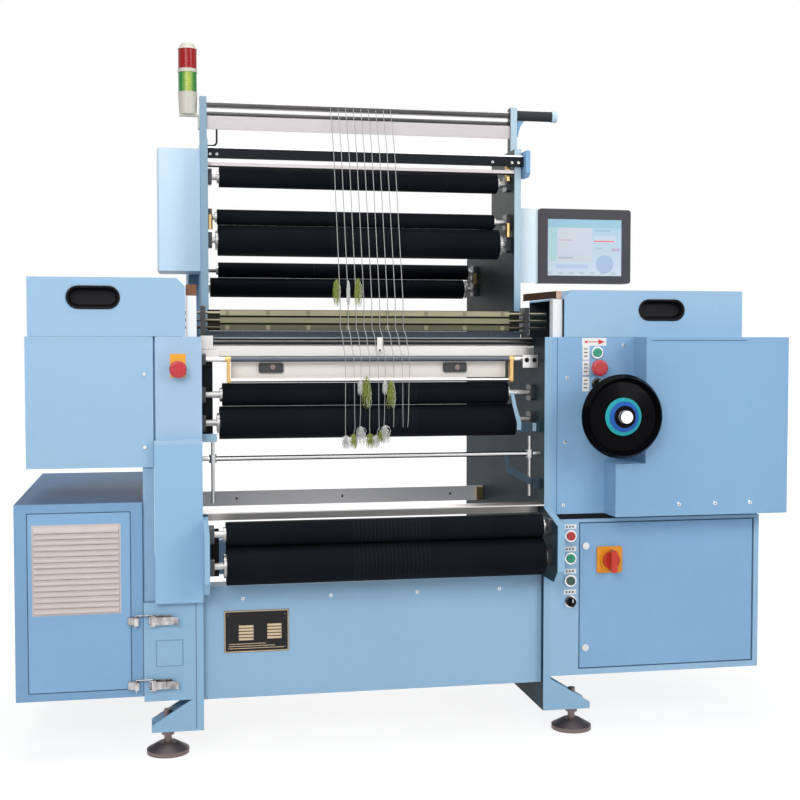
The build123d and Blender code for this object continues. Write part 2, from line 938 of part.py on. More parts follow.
# Draw latches: bases on the leg, keepers on the cabinet and the loops between them
with BuildPart() as latch_plates:
    for latch_z in (latch_low_z, latch_high_z):
        with BuildSketch(front_plane(0)):
            span(
                -latch_pivot_x - latch_ear_length / 2,
                -latch_pivot_x + latch_base_length,
                latch_z - latch_width / 2 - latch_ear,
                latch_z + latch_width / 2 + latch_ear,
            )
        extrude(amount=latch_base_sheet)
        for end in (-1, 1):
            ear_z = latch_z + end * (latch_width / 2 + slide_gap)
            with BuildSketch(floor_plane(ear_z)):
                span(
                    -latch_pivot_x - latch_ear_length / 2,
                    -latch_pivot_x + latch_ear_length / 2,
                    -latch_pivot_y - latch_barrel,
                    -latch_base_sheet,
                )
            extrude(amount=end * latch_ear)
        with BuildSketch(floor_plane(latch_z - latch_width / 2 - latch_ear)):
            disc(-latch_pivot_x, -latch_pivot_y, latch_pin)
        extrude(amount=latch_width + 2 * latch_ear)
        for end in (-1, 1):
            wire_z = latch_z + end * (latch_width / 2 + latch_ear + slide_gap + bail_wire / 2)
            with BuildSketch(side_plane(-latch_pivot_x - bail_length)):
                disc(-latch_pivot_y, wire_z, bail_wire / 2)
            extrude(amount=bail_length)
        with BuildSketch(floor_plane(latch_z - latch_width / 2 - latch_ear - slide_gap - bail_wire)):
            disc(-latch_pivot_x - bail_length, -latch_pivot_y, bail_wire / 2)
        extrude(amount=latch_width + 2 * (latch_ear + slide_gap + bail_wire))
        with BuildSketch(floor_plane(latch_z - latch_width / 2)):
            with BuildLine():
                keeper_x = -latch_pivot_x - bail_length + bail_wire / 2
                Polyline(
                    (keeper_x - keeper_length, 0),
                    (keeper_x + bail_wire + bail_offset, 0),
                    (keeper_x + bail_wire + bail_offset, -keeper_reach),
                    (keeper_x - bail_wire - bail_offset, -keeper_reach),
                    (keeper_x - bail_wire - bail_offset, -keeper_reach + bail_offset),
                    (keeper_x, -keeper_reach + bail_offset),
                    (keeper_x, -keeper_lip),
                    (keeper_x - keeper_length, -keeper_lip),
                    close=True,
                )
            make_face()
        extrude(amount=latch_width)
write(latch_plates, "latch_plates")


def latch_lever(name, latch_z):
    tip_x = -latch_pivot_x + latch_length
    lever_y = -latch_pivot_y - latch_barrel
    with BuildPart() as lever:
        with BuildSketch(floor_plane(latch_z - latch_width / 2)):
            disc(-latch_pivot_x, -latch_pivot_y, latch_barrel)
            with BuildLine():
                Polyline(
                    (-latch_pivot_x, lever_y),
                    (tip_x, lever_y),
                    (tip_x + latch_curl, lever_y - latch_curl),
                    (tip_x + latch_curl, lever_y - latch_curl + latch_sheet),
                    (tip_x, lever_y + latch_sheet),
                    (-latch_pivot_x, lever_y + latch_sheet),
                    close=True,
                )
            make_face()
            disc(-latch_pivot_x, -latch_pivot_y, latch_pin + fit, mode=Mode.SUBTRACT)
        extrude(amount=latch_width)
    write(lever, name)


latch_lever("upper_latch_lever", latch_high_z)
latch_lever("lower_latch_lever", latch_low_z)


# Tower cover over the roller drive, open towards the side frame
with BuildPart() as tower_cover:
    with BuildSketch(floor_plane(tower_cover_bottom)):
        span(
            -left_tower_outer - tower_cover_width,
            -left_tower_outer,
            tower_cover_front,
            tower_cover_front + tower_cover_depth,
        )
    extrude(amount=tower_cover_top - tower_cover_bottom)
    chamfer(tower_cover.faces().sort_by(Axis.X)[0].edges(), length=tower_cover_chamfer)
    with BuildSketch(side_plane(-left_tower_outer)):
        span(
            tower_cover_front + sheet,
            tower_cover_front + tower_cover_depth - sheet,
            tower_cover_bottom + sheet,
            tower_cover_top - sheet,
        )
    extrude(amount=-(tower_cover_width - 2 * tower_cover_chamfer), mode=Mode.SUBTRACT)
write(tower_cover, "tower_cover")


# Signal lamp: base, ring and dome on one spigot, with the lenses around it
lens_low = lamp_bottom + lamp_base_height
lens_high = lens_low + lens_height + lamp_ring
lamp_axis = Axis((bed_x - lamp_x, front_y + lamp_y, 0), (0, 0, 1))
lamp_plane = Plane(origin=(bed_x - lamp_x, front_y + lamp_y, 0), x_dir=(1, 0, 0), z_dir=(0, -1, 0))
with BuildPart() as lamp_housing:
    with BuildSketch(lamp_plane):
        with BuildLine():
            Polyline(
                (0, lamp_bottom),
                (lamp_base_radius, lamp_bottom),
                (lamp_radius, lens_low),
                (lamp_spigot_radius, lens_low),
                (lamp_spigot_radius, lens_low + lens_height),
                (lamp_radius, lens_low + lens_height),
                (lamp_radius, lens_high),
                (lamp_spigot_radius, lens_high),
                (lamp_spigot_radius, lens_high + lens_height),
                (lamp_radius, lens_high + lens_height),
                (lamp_spigot_radius, lens_high + lens_height + lamp_dome),
                (0, lens_high + lens_height + lamp_dome),
                close=True,
            )
        make_face()
    revolve(axis=lamp_axis)
    with BuildSketch(floor_plane(lamp_bottom)):
        span(
            -lamp_x - lamp_base_radius,
            -left_tower_outer,
            lamp_y - lamp_base_radius / 2,
            lamp_y + lamp_base_radius / 2,
        )
    extrude(amount=-lamp_bracket_sheet)
    with BuildSketch(side_plane(-left_tower_outer)):
        span(
            lamp_y - lamp_base_radius / 2,
            lamp_y + lamp_base_radius / 2,
            lamp_bottom - lamp_bracket_drop,
            lamp_bottom,
        )
    extrude(amount=-lamp_bracket_sheet)
write(lamp_housing, "lamp_housing")

with BuildPart() as lamp_lenses:
    for lens_z in (lens_low, lens_high):
        with BuildSketch(floor_plane(lens_z)):
            disc(-lamp_x, lamp_y, lens_radius)
            disc(-lamp_x, lamp_y, lens_radius - lens_wall, mode=Mode.SUBTRACT)
        extrude(amount=lens_height)
write(lamp_lenses, "lamp_lenses")

# Lead of the lamp: out of the post, round in one loop and back into the tower
with BuildPart() as lamp_cable:
    with BuildLine() as lead:
        FilletPolyline(
            (bed_x - left_tower_inner, front_y + lamp_y, cable_high_z),
            (bed_x - left_tower_inner + cable_reach, front_y + lamp_y, cable_high_z),
            (bed_x - left_tower_inner + cable_reach, front_y + lamp_y, cable_low_z),
            (bed_x - left_tower_inner, front_y + lamp_y, cable_low_z),
            radius=cable_bend,
        )
    with BuildSketch(side_plane(-left_tower_inner)):
        disc(lamp_y, cable_high_z, cable_radius)
    sweep(path=lead.line)
write(lamp_cable, "lamp_cable")


# Right gear case: a closed box whose front carries the panel controls and the handwheel bearing
with BuildPart() as right_gear_case:
    with BuildSketch(floor_plane(right_case_bottom)):
        span(outer_x, right_case_edge, 0, case_depth)
    extrude(amount=right_case_height)
    with BuildSketch(floor_plane(right_case_bottom + case_wall)):
        span(outer_x + case_wall, right_case_edge - case_wall, case_wall, case_depth - case_wall)
    extrude(amount=right_case_height - 2 * case_wall, mode=Mode.SUBTRACT)
    with BuildSketch(front_plane(case_wall)):
        disc(wheel_x, wheel_z, bearing_boss_radius)
    extrude(amount=-bearing_boss_depth)
    with BuildSketch(front_plane(0)):
        disc(wheel_x, wheel_z, shaft_radius + fit)
    extrude(amount=-(bearing_boss_depth + case_wall), mode=Mode.SUBTRACT)
    with BuildSketch(front_plane(0)):
        disc(panel_control_x, start_z, cap_radius + cap_gap)
        disc(panel_control_x, right_stop_z, head_stem + cap_gap)
        disc(panel_control_x, panel_selector_z, head_stem + cap_gap)
    extrude(amount=-case_wall, mode=Mode.SUBTRACT)
    with BuildSketch(floor_plane(deck_z)):
        span(
            shog_box_inner,
            right_case_edge - case_wall,
            guide_y - shog_box_depth / 2,
            guide_y + shog_box_depth / 2,
        )
    extrude(amount=shog_box_height)
    hinge_lugs((right_hinge_near,), 1)
write(right_gear_case, "right_gear_case")

# Main cover: a proud L-shaped box beside and below the handwheel
with BuildPart() as right_main_cover:
    with BuildSketch(front_plane(-main_cover_proud)):
        span(right_case_edge, right_reach, right_case_bottom, deck_z)
        span(main_cover_step_x, right_case_edge, right_case_bottom, main_cover_step_z)
    extrude(amount=-main_cover_proud)
    with BuildSketch(front_plane(-main_cover_proud + sheet)):
        span(right_case_edge + sheet, right_reach - sheet, right_case_bottom + sheet, deck_z - sheet)
        span(
            main_cover_step_x + sheet,
            right_case_edge + sheet,
            right_case_bottom + sheet,
            main_cover_step_z - sheet,
        )
    extrude(amount=-(main_cover_proud - 2 * sheet), mode=Mode.SUBTRACT)
    with BuildSketch(front_plane(0)):
        span(right_case_edge, right_reach, right_case_bottom, deck_z)
        span(
            right_case_edge + sheet,
            right_reach - sheet,
            right_case_bottom + sheet,
            deck_z - sheet,
            mode=Mode.SUBTRACT,
        )
    extrude(amount=-case_depth)
    with BuildSketch(front_plane(case_depth)):
        span(right_case_edge, right_reach, right_case_bottom, deck_z)
    extrude(amount=sheet)
    hinge_lugs((right_hinge_far,), 1)
write(right_main_cover, "right_main_cover")


# Handwheel with its shaft, turned as one
with BuildPart() as handwheel:
    wheel_plane = Plane(
        origin=(bed_x + wheel_x, front_y, wheel_z),
        x_dir=(0, 1, 0),
        z_dir=(1, 0, 0),
    )
    rim_front = wheel_disc_y + wheel_rim_depth / 2
    rim_back = wheel_disc_y - wheel_rim_depth / 2
    with BuildSketch(wheel_plane):
        with BuildLine():
            Polyline(
                (-wheel_reach, 0),
                (-wheel_reach, wheel_nose_radius),
                (-wheel_disc_y - wheel_disc - wheel_ring_proud, wheel_nose_radius),
                (-wheel_disc_y - wheel_disc - wheel_ring_proud, wheel_boss_radius),
                (-wheel_disc_y - wheel_disc, wheel_ring_radius),
                (-wheel_disc_y - wheel_disc / 2, wheel_radius - wheel_rim),
                (-rim_front, wheel_radius - wheel_rim / 2),
                (-wheel_disc_y, wheel_radius),
                (-rim_back, wheel_radius - wheel_rim / 2),
                (-wheel_disc_y + wheel_disc / 2, wheel_radius - wheel_rim),
                (-wheel_disc_y + wheel_disc / 2, wheel_hub_radius),
                (-wheel_hub_back, wheel_hub_radius),
                (-wheel_hub_back, shaft_radius),
                (shaft_depth, shaft_radius),
                (shaft_depth, 0),
                close=True,
            )
        make_face()
    revolve(axis=Axis((bed_x + wheel_x, front_y, wheel_z), (0, 1, 0)))
    rim_edge = handwheel.edges().filter_by(GeomType.CIRCLE).sort_by(SortBy.RADIUS)[-1]
    fillet(rim_edge, radius=wheel_rim / 2)
write(handwheel, "handwheel")


# Right cabinet: a sheet box whose left stile carries the control strip
with BuildPart() as right_cabinet:
    with BuildSketch(floor_plane(right_cabinet_bottom)):
        span(outer_x, right_cabinet_edge, 0, right_cabinet_depth)
    extrude(amount=right_cabinet_top - right_cabinet_bottom)
    with BuildSketch(floor_plane(right_cabinet_bottom + sheet)):
        span(outer_x + sheet, right_cabinet_edge - sheet, sheet, right_cabinet_depth - sheet)
    extrude(amount=right_cabinet_top - right_cabinet_bottom - 2 * sheet, mode=Mode.SUBTRACT)
    with BuildSketch(front_plane(0)):
        span(door_left - door_gap, door_right + door_gap, door_bottom - door_gap, door_top + door_gap)
        disc(strip_x, strip_stop_z, cap_radius + cap_gap)
        disc(strip_x, strip_start_z, cap_radius + cap_gap)
        disc(strip_x, strip_lamp_z, cap_radius + cap_gap)
        disc(strip_x, strip_selector_z, head_stem + cap_gap)
    extrude(amount=-sheet, mode=Mode.SUBTRACT)
    for lug_z, up in ((door_bottom - door_gap, -1), (door_top + door_gap, 1)):
        with BuildSketch(floor_plane(lug_z)):
            span(door_pivot_x - pivot_lug / 2, door_pivot_x + pivot_lug / 2, 0, pivot_lug_depth)
        extrude(amount=up * pivot_lug_height)
        with BuildSketch(floor_plane(lug_z)):
            disc(door_pivot_x, door_pivot_inset, door_pin)
        extrude(amount=-up * (door_gap + door_pin_length))
write(right_cabinet, "right_cabinet")

with BuildPart() as right_door:
    with BuildSketch(front_plane(0)):
        span(door_left, door_right, door_bottom, door_top)
    extrude(amount=-door_depth)
    with BuildSketch(front_plane(sheet)):
        span(door_left + sheet, door_right - sheet, door_bottom + sheet, door_top - sheet)
    extrude(amount=-door_depth, mode=Mode.SUBTRACT)
    for corner_z, up in ((door_bottom, 1), (door_top, -1)):
        with BuildSketch(floor_plane(corner_z)):
            span(door_right - door_block, door_right, 0, door_block)
        extrude(amount=up * door_block)
    hinge_edge = right_door.edges().filter_by(Axis.Z).group_by(Axis.Y)[0].sort_by(Axis.X)[-1]
    fillet(hinge_edge, radius=sheet)
    with BuildSketch(front_plane(0)):
        disc(door_left + lock_edge, lock_low_z, lock_radius)
        disc(door_left + lock_edge, lock_high_z, lock_radius)
    extrude(amount=lock_proud)
    with BuildSketch(front_plane(0)):
        disc(switch_x, switch_z, switch_bore + fit)
    extrude(amount=-sheet, mode=Mode.SUBTRACT)
    for corner_z, up in ((door_bottom, 1), (door_top, -1)):
        with BuildSketch(floor_plane(corner_z)):
            disc(door_pivot_x, door_pivot_inset, door_pin + fit)
        extrude(amount=up * (door_pin_length + hinge_end_gap), mode=Mode.SUBTRACT)
write(right_door, "right_door")

with BuildPart() as switch_plate_part:
    with BuildSketch(front_plane(0)):
        with Locations((switch_x, switch_z)):
            RectangleRounded(switch_side, switch_side, cover_fillet)
        disc(switch_x, switch_z, switch_bore + fit, mode=Mode.SUBTRACT)
    extrude(amount=switch_plate)
    with BuildSketch(front_plane(-switch_plate)):
        disc(switch_x, switch_z, switch_collar_radius)
        disc(switch_x, switch_z, switch_bore + fit, mode=Mode.SUBTRACT)
    extrude(amount=switch_collar)
write(switch_plate_part, "switch_plate")

switch_face = switch_plate + switch_collar + slide_gap
with BuildPart() as switch_knob:
    with BuildSketch(front_plane(-switch_face)):
        disc(switch_x, switch_z, switch_knob_radius)
    extrude(amount=switch_knob_depth)
    with BuildSketch(front_plane(-switch_face - switch_knob_depth)):
        with Locations((switch_x, switch_z)):
            SlotOverall(switch_grip_length, switch_grip_width, rotation=90)
    extrude(amount=switch_grip_depth)
    with BuildSketch(front_plane(-switch_face)):
        disc(switch_x, switch_z, switch_bore)
    extrude(amount=-(switch_face + switch_stem))
write(switch_knob, "switch_knob")

# Control gear on its mounting plate at the back of the right cabinet
gear_back = right_cabinet_depth - sheet
gear_face = gear_back - gear_standoff
gear_x0 = outer_x + gear_plate_margin
gear_x1 = right_cabinet_edge - gear_plate_margin
gear_z0 = right_cabinet_bottom + gear_plate_margin
gear_z1 = right_cabinet_top - gear_plate_margin
with BuildPart() as control_gear:
    with BuildSketch(front_plane(gear_face - gear_plate)):
        span(gear_x0, gear_x1, gear_z0, gear_z1)
    extrude(amount=-gear_plate)
    with BuildSketch(front_plane(gear_face)):
        with Locations(((gear_x0 + gear_x1) / 2, (gear_z0 + gear_z1) / 2)):
            with GridLocations(
                gear_x1 - gear_x0 - 2 * gear_gap,
                gear_z1 - gear_z0 - 2 * gear_gap,
                2,
                2,
            ):
                Circle(gear_standoff_radius)
    extrude(amount=-gear_standoff)
    with BuildSketch(front_plane(gear_face - gear_plate)):
        span(
            gear_x0 + gear_gap,
            gear_x0 + gear_gap + gear_unit_width,
            gear_z1 - gear_gap - gear_unit_height,
            gear_z1 - gear_gap,
        )
        span(
            gear_x0 + 2 * gear_gap + gear_unit_width,
            gear_x0 + 2 * gear_gap + 2 * gear_unit_width,
            gear_z1 - gear_gap - gear_unit_height,
            gear_z1 - gear_gap,
        )
    extrude(amount=gear_unit_depth)
    with BuildSketch(front_plane(gear_face - gear_plate)):
        span(
            gear_x0 + 3 * gear_gap + 2 * gear_unit_width,
            gear_x1 - gear_gap,
            gear_z1 - gear_gap - gear_row_height,
            gear_z1 - gear_gap,
        )
        span(
            gear_x0 + 3 * gear_gap + 2 * gear_unit_width,
            gear_x1 - gear_gap,
            gear_z1 - 2 * gear_gap - 2 * gear_row_height,
            gear_z1 - 2 * gear_gap - gear_row_height,
        )
    extrude(amount=gear_row_depth)
write(control_gear, "control_gear")


# Operator panel and its bracket on the tower
with BuildPart() as monitor:
    with BuildSketch(front_plane(monitor_front)):
        with Locations((monitor_left + monitor_width / 2, monitor_bottom + monitor_height / 2)):
            RectangleRounded(monitor_width, monitor_height, monitor_fillet)
    extrude(amount=-monitor_depth)
    with BuildSketch(front_plane(monitor_front)):
        with Locations((monitor_left + monitor_width / 2, monitor_bottom + monitor_height / 2 - screen_drop)):
            RectangleRounded(screen_width, screen_height, screen_recess)
    extrude(amount=-screen_recess, mode=Mode.SUBTRACT)
write(monitor, "monitor")

with BuildPart() as monitor_bracket:
    with BuildSketch(front_plane(bracket_y)):
        span(outer_x, monitor_left, monitor_bottom, monitor_bottom + monitor_height)
    extrude(amount=-bracket_sheet)
    with BuildSketch(front_plane(bracket_y)):
        span(outer_x, outer_x + bracket_sheet, monitor_bottom, monitor_bottom + monitor_height)
    extrude(amount=-bracket_flange)
write(monitor_bracket, "monitor_bracket")


# Bezels of the control buttons, seated on their panels
bezel_holes = (
    (left_stop_x, left_stop_z, head_stem),
    (panel_control_x, start_z, cap_radius),
    (panel_control_x, right_stop_z, head_stem),
    (panel_control_x, panel_selector_z, head_stem),
    (strip_x, strip_stop_z, cap_radius),
    (strip_x, strip_start_z, cap_radius),
    (strip_x, strip_lamp_z, cap_radius),
    (strip_x, strip_selector_z, head_stem),
)
with BuildPart() as control_bezels:
    for bezel_x, bezel_z, hole in bezel_holes:
        with BuildSketch(front_plane(0)):
            disc(bezel_x, bezel_z, bezel_radius)
            disc(bezel_x, bezel_z, hole + cap_gap, mode=Mode.SUBTRACT)
        extrude(amount=bezel_height)
write(control_bezels, "control_bezels")


def push_cap(name, x, z):
    """Flat button that slides inside its bezel."""
    with BuildPart() as button:
        with BuildSketch(front_plane(-bezel_height - cap_proud)):
            disc(x, z, cap_radius)
        extrude(amount=-(bezel_height + cap_proud + cap_inside))
        chamfer(button.faces().sort_by(Axis.Y)[0].edges(), length=cap_proud / 4)
    write(button, name)


def stop_head(name, x, z):
    """Mushroom head on a stem that slides through its bezel."""
    with BuildPart() as button:
        with BuildSketch(front_plane(-bezel_height - head_lift)):
            disc(x, z, head_radius)
        extrude(amount=head_depth)
        fillet(button.faces().sort_by(Axis.Y)[0].edges(), radius=head_depth / 3)
        with BuildSketch(front_plane(-bezel_height - head_lift)):
            disc(x, z, head_stem)
        extrude(amount=-(bezel_height + head_lift + sheet))
    write(button, name)


def selector(name, x, z):
    """Round knob with a raised bar, on a stem through its bezel."""
    with BuildPart() as knob:
        with BuildSketch(front_plane(-bezel_height - slide_gap)):
            disc(x, z, knob_radius)
        extrude(amount=knob_depth)
        with BuildSketch(front_plane(-bezel_height - slide_gap - knob_depth)):
            with Locations((x, z)):
                SlotOverall(2 * knob_radius - knob_bar / 2, knob_bar, rotation=90)
        extrude(amount=knob_bar_depth)
        with BuildSketch(front_plane(-bezel_height - slide_gap)):
            disc(x, z, head_stem)
        extrude(amount=-(bezel_height + slide_gap + cap_inside))
    write(knob, name)


stop_head("left_stop_button", left_stop_x, left_stop_z)
push_cap("start_button", panel_control_x, start_z)
stop_head("right_stop_button", panel_control_x, right_stop_z)
selector("panel_selector", panel_control_x, panel_selector_z)
push_cap("strip_stop_button", strip_x, strip_stop_z)
push_cap("strip_start_button", strip_x, strip_start_z)
push_cap("strip_lamp_button", strip_x, strip_lamp_z)
selector("strip_selector", strip_x, strip_selector_z)


# Rollers: a covered face between hubs and journals
front_press_z = front_feed_z + front_feed_radius + front_press_radius + nip_gap
rear_press_z = rear_feed_z + rear_feed_radius + rear_press_radius + nip_gap
middle_press_z = middle_z + middle_radius + middle_press_radius + nip_gap
draw_press_z = draw_z + draw_radius + draw_press_radius + nip_gap
left_nose = half_gap - nose_thickness
tower = (left_tower_inner, half_gap)
walls = (half_gap, half_gap)
noses = (left_nose, half_gap)
rollers = (
    (
        ("top_roller", tower_roller_y, top_roller_z, top_roller_radius),
        (top_left, top_right),
        tower,
        False,
    ),
    (
        ("front_feed_roller", tower_roller_y, front_feed_z, front_feed_radius),
        (front_feed_left, front_feed_right),
        tower,
        True,
    ),
    (
        ("front_press_roller", tower_roller_y, front_press_z, front_press_radius),
        (front_press_left, front_press_right),
        tower,
        False,
    ),
    (
        ("rear_feed_roller", rear_feed_y, rear_feed_z, rear_feed_radius),
        (rear_feed_left, rear_feed_right),
        walls,
        True,
    ),
    (
        ("rear_press_roller", rear_feed_y, rear_press_z, rear_press_radius),
        (rear_press_left, rear_press_right),
        walls,
        False,
    ),
    (
        ("middle_roller", middle_y, middle_z, middle_radius),
        (middle_left, middle_right),
        walls,
        False,
    ),
    (
        ("middle_press_roller", middle_y, middle_press_z, middle_press_radius),
        (middle_press_left, middle_press_right),
        walls,
        False,
    ),
    (
        ("draw_roller", draw_y, draw_z, draw_radius),
        (draw_left, draw_right),
        noses,
        False,
    ),
    (
        ("draw_press_roller", draw_y, draw_press_z, draw_press_radius),
        (draw_press_left, draw_press_right),
        noses,
        False,
    ),
)
for (name, roller_y, roller_z, radius), (face_left, face_right), seats, driven in rollers:
    with BuildPart() as roller:
        reach_left = seats[0] - journal_end_gap
        reach_right = seats[1] - journal_end_gap
        hub_radius = max(radius * hub_share, journal_radius + hub_length)
        roller_plane = Plane(
            origin=(bed_x, front_y + roller_y, roller_z),
            x_dir=(1, 0, 0),
            z_dir=(0, -1, 0),
        )
        with BuildSketch(roller_plane):
            with BuildLine():
                Polyline(
                    (-reach_left, 0),
                    (-reach_left, journal_radius),
                    (-face_left - hub_length, journal_radius),
                    (-face_left - hub_length, hub_radius),
                    (-face_left, hub_radius),
                    (-face_left, radius),
                    (face_right, radius),
                    (face_right, hub_radius),
                    (face_right + hub_length, hub_radius),
                    (face_right + hub_length, journal_radius),
                    (reach_right, journal_radius),
                    (reach_right, 0),
                    close=True,
                )
            make_face()
        revolve(axis=Axis((bed_x, front_y + roller_y, roller_z), (1, 0, 0)))
        if driven:
            with BuildSketch(side_plane(face_right + hub_length)):
                disc(roller_y, roller_z, sprocket_radius)
                with Locations((roller_y, roller_z)):
                    with PolarLocations(sprocket_radius, sprocket_teeth):
                        Circle(sprocket_tooth / 2, mode=Mode.SUBTRACT)
            extrude(amount=sprocket_width)
    write(roller, name)


# Bearing blocks of the rollers and the rocker shaft, needle rod guides and carrier bushes
with BuildPart() as bearing_blocks:
    for side in (-1, 1):
        for (name, roller_y, roller_z, radius), (face_left, face_right), seats, driven in rollers:
            with BuildSketch(side_plane(seats[1] if side > 0 else -seats[0])):
                with Locations((roller_y, roller_z)):
                    RectangleRounded(block_side, block_side, block_fillet)
                disc(roller_y, roller_z, journal_radius + fit, mode=Mode.SUBTRACT)
            extrude(amount=-side * block_depth)
        with BuildSketch(side_plane(side * half_gap)):
            with Locations((rocker_y, rocker_z)):
                RectangleRounded(rocker_block, rocker_block, block_fillet)
            disc(rocker_y, rocker_z, rocker_radius + fit, mode=Mode.SUBTRACT)
        extrude(amount=-side * block_depth)
        with BuildSketch(floor_plane(carrier_bottom - slide_gap)):
            post_x = side * (half_gap - carrier_gap - carrier_thickness / 2)
            span(
                side * half_gap,
                side * (half_gap - carrier_bush_width),
                carrier_post_y - carrier_bush_depth / 2,
                carrier_post_y + carrier_bush_depth / 2,
            )
            disc(post_x, carrier_post_y, carrier_post_radius + fit, mode=Mode.SUBTRACT)
        extrude(amount=-carrier_bush_height)
    for rod_x in (needle_rod_left, needle_rod_right):
        with BuildSketch(front_plane(needle_guide_y)):
            span(
                rod_x - needle_guide_width / 2,
                rod_x + needle_guide_width / 2,
                needle_guide_bottom,
                bed_beam_bottom,
            )
            disc(rod_x, needle_rod_z, needle_rod_radius + fit, mode=Mode.SUBTRACT)
        extrude(amount=-needle_guide_depth)
write(bearing_blocks, "bearing_blocks")


# Bars across the tower: yarn tubes, deflector plate, tension bars and the bracket at their right end
bar_span = left_tower_inner + half_gap
bar_front = tower_front - tension_bar_sheet
tube_end = outer_x + top_tube_reach
with BuildPart() as upper_bars:
    with BuildSketch(side_plane(-left_tower_outer)):
        disc(post_mid_y, top_tube_z, top_tube_radius)
    extrude(amount=left_tower_outer + tube_end)
    with BuildSketch(side_plane(outer_x + top_sleeve_gap)):
        disc(post_mid_y, top_tube_z, top_sleeve_radius)
    extrude(amount=top_tube_reach - top_sleeve_gap - top_tube_cap)
    with BuildSketch(side_plane(tube_end)):
        disc(post_mid_y, top_tube_z, top_tube_cap_radius)
    extrude(amount=-top_tube_cap)
    with BuildSketch(front_plane(post_mid_y - gusset_sheet / 2)):
        with BuildLine():
            Polyline(
                (outer_x + gusset_reach, top_tube_z),
                (outer_x, top_tube_z),
                (outer_x, top_tube_z - gusset_drop),
                (outer_x + gusset_edge, top_tube_z - gusset_drop + gusset_edge),
            )
            RadiusArc(
                (outer_x + gusset_edge, top_tube_z - gusset_drop + gusset_edge),
                (outer_x + gusset_reach, top_tube_z),
                gusset_drop,
            )
        make_face()
    extrude(amount=-gusset_sheet)
    with BuildSketch(side_plane(-left_tower_inner)):
        disc(second_tube_y, second_tube_z, second_tube_radius)
        span(
            deflector_y,
            deflector_y + deflector_sheet,
            deflector_z - deflector_height / 2,
            deflector_z + deflector_height / 2,
        )
        span(
            flat_bar_y,
            flat_bar_y + flat_bar_sheet,
            flat_bar_z - flat_bar_height / 2,
            flat_bar_z + flat_bar_height / 2,
        )
        disc(flat_bar_y + flat_bar_sheet / 2, flat_bar_z - flat_bar_height / 2, flat_edge_radius)
    extrude(amount=bar_span)
    with BuildSketch(side_plane(-left_tower_inner)):
        span(
            bar_front,
            tower_front,
            tension_bar_z - tension_bar_height / 2,
            tension_bar_z + tension_bar_height / 2,
        )
        disc(bar_front + tension_edge_radius, tension_bar_z + tension_bar_height / 2, tension_edge_radius)
    extrude(amount=left_tower_inner + end_bracket_x)
    with BuildSketch(side_plane(end_bracket_x)):
        with BuildLine():
            Polyline(
                (end_bracket_front + end_bracket_depth, end_bracket_bottom),
                (end_bracket_front + end_bracket_depth, end_bracket_top),
                (end_bracket_front, end_bracket_top),
                (end_bracket_front, end_bracket_bottom + end_bracket_chamfer),
                (end_bracket_front + end_bracket_chamfer, end_bracket_bottom),
                close=True,
            )
        make_face()
    extrude(amount=end_bracket_width)
    with BuildSketch(side_plane(outer_x)):
        span(
            end_bracket_front + end_bracket_depth - end_bracket_sheet,
            end_bracket_front + end_bracket_depth,
            end_bracket_bottom,
            end_bracket_top,
        )
    extrude(amount=end_bracket_x - outer_x)
write(upper_bars, "upper_bars")


# Bars across the knitting zone: rails, rear bar, cross rod with its adjusters, trough and end posts
with BuildPart() as cross_bars:
    with BuildSketch(side_plane(-half_gap)):
        disc(rail_y, rail_z, rail_radius)
        disc(rail_y, rail_z + rail_pitch, rail_radius)
        disc(cross_rod_y, cross_rod_z, cross_rod_radius)
        span(
            rear_bar_y,
            rear_bar_y + rear_bar_sheet,
            rear_bar_z - rear_bar_height / 2,
            rear_bar_z + rear_bar_height / 2,
        )
        with BuildLine():
            Polyline(
                (trough_y, trough_z),
                (trough_y + trough_depth, trough_z),
                (trough_y + trough_depth, trough_z - trough_lip),
                (trough_y + trough_depth - trough_sheet, trough_z - trough_lip),
                (trough_y + trough_depth - trough_sheet, trough_z - trough_sheet),
                (trough_y, trough_z - trough_sheet),
                close=True,
            )
        make_face()
    extrude(amount=frame_gap)
    for side in (-1, 1):
        with BuildSketch(floor_plane(adjuster_bottom + trough_lip)):
            disc(side * adjuster_x, cross_rod_y, adjuster_radius)
        extrude(amount=adjuster_top - adjuster_bottom - trough_lip)
        with BuildSketch(floor_plane(cross_rod_z - adjuster_knob / 2)):
            disc(side * adjuster_x, cross_rod_y, adjuster_knob_radius)
        extrude(amount=adjuster_knob)
    with BuildSketch(floor_plane(deck_z)):
        span(-left_post_x, -left_post_x + end_post_width, cover_step, cover_step + end_post_depth)
    extrude(amount=left_post_height)
    with BuildSketch(floor_plane(deck_z)):
        span(right_post_x, right_post_x + end_post_width, cover_step, cover_step + end_post_depth)
    extrude(amount=right_post_height)
write(cross_bars, "cross_bars")


# Guide bars: flat bars on round end rods that slide through the carrier
carrier_inner = half_gap - carrier_gap - carrier_thickness
for index, name in enumerate(("lower_guide_bar", "middle_guide_bar", "upper_guide_bar")):
    bar_z = guide_z + index * guide_pitch
    with BuildPart() as guide_bar:
        with BuildSketch(side_plane(-guide_half + guide_shog)):
            with Locations((guide_y, bar_z)):
                Rectangle(guide_depth, guide_height)
        extrude(amount=2 * (guide_half - guide_shog))
        with BuildSketch(side_plane(-guide_rod_reach)):
            disc(guide_y, bar_z, guide_rod_radius)
        extrude(amount=2 * guide_rod_reach)
    write(guide_bar, name)

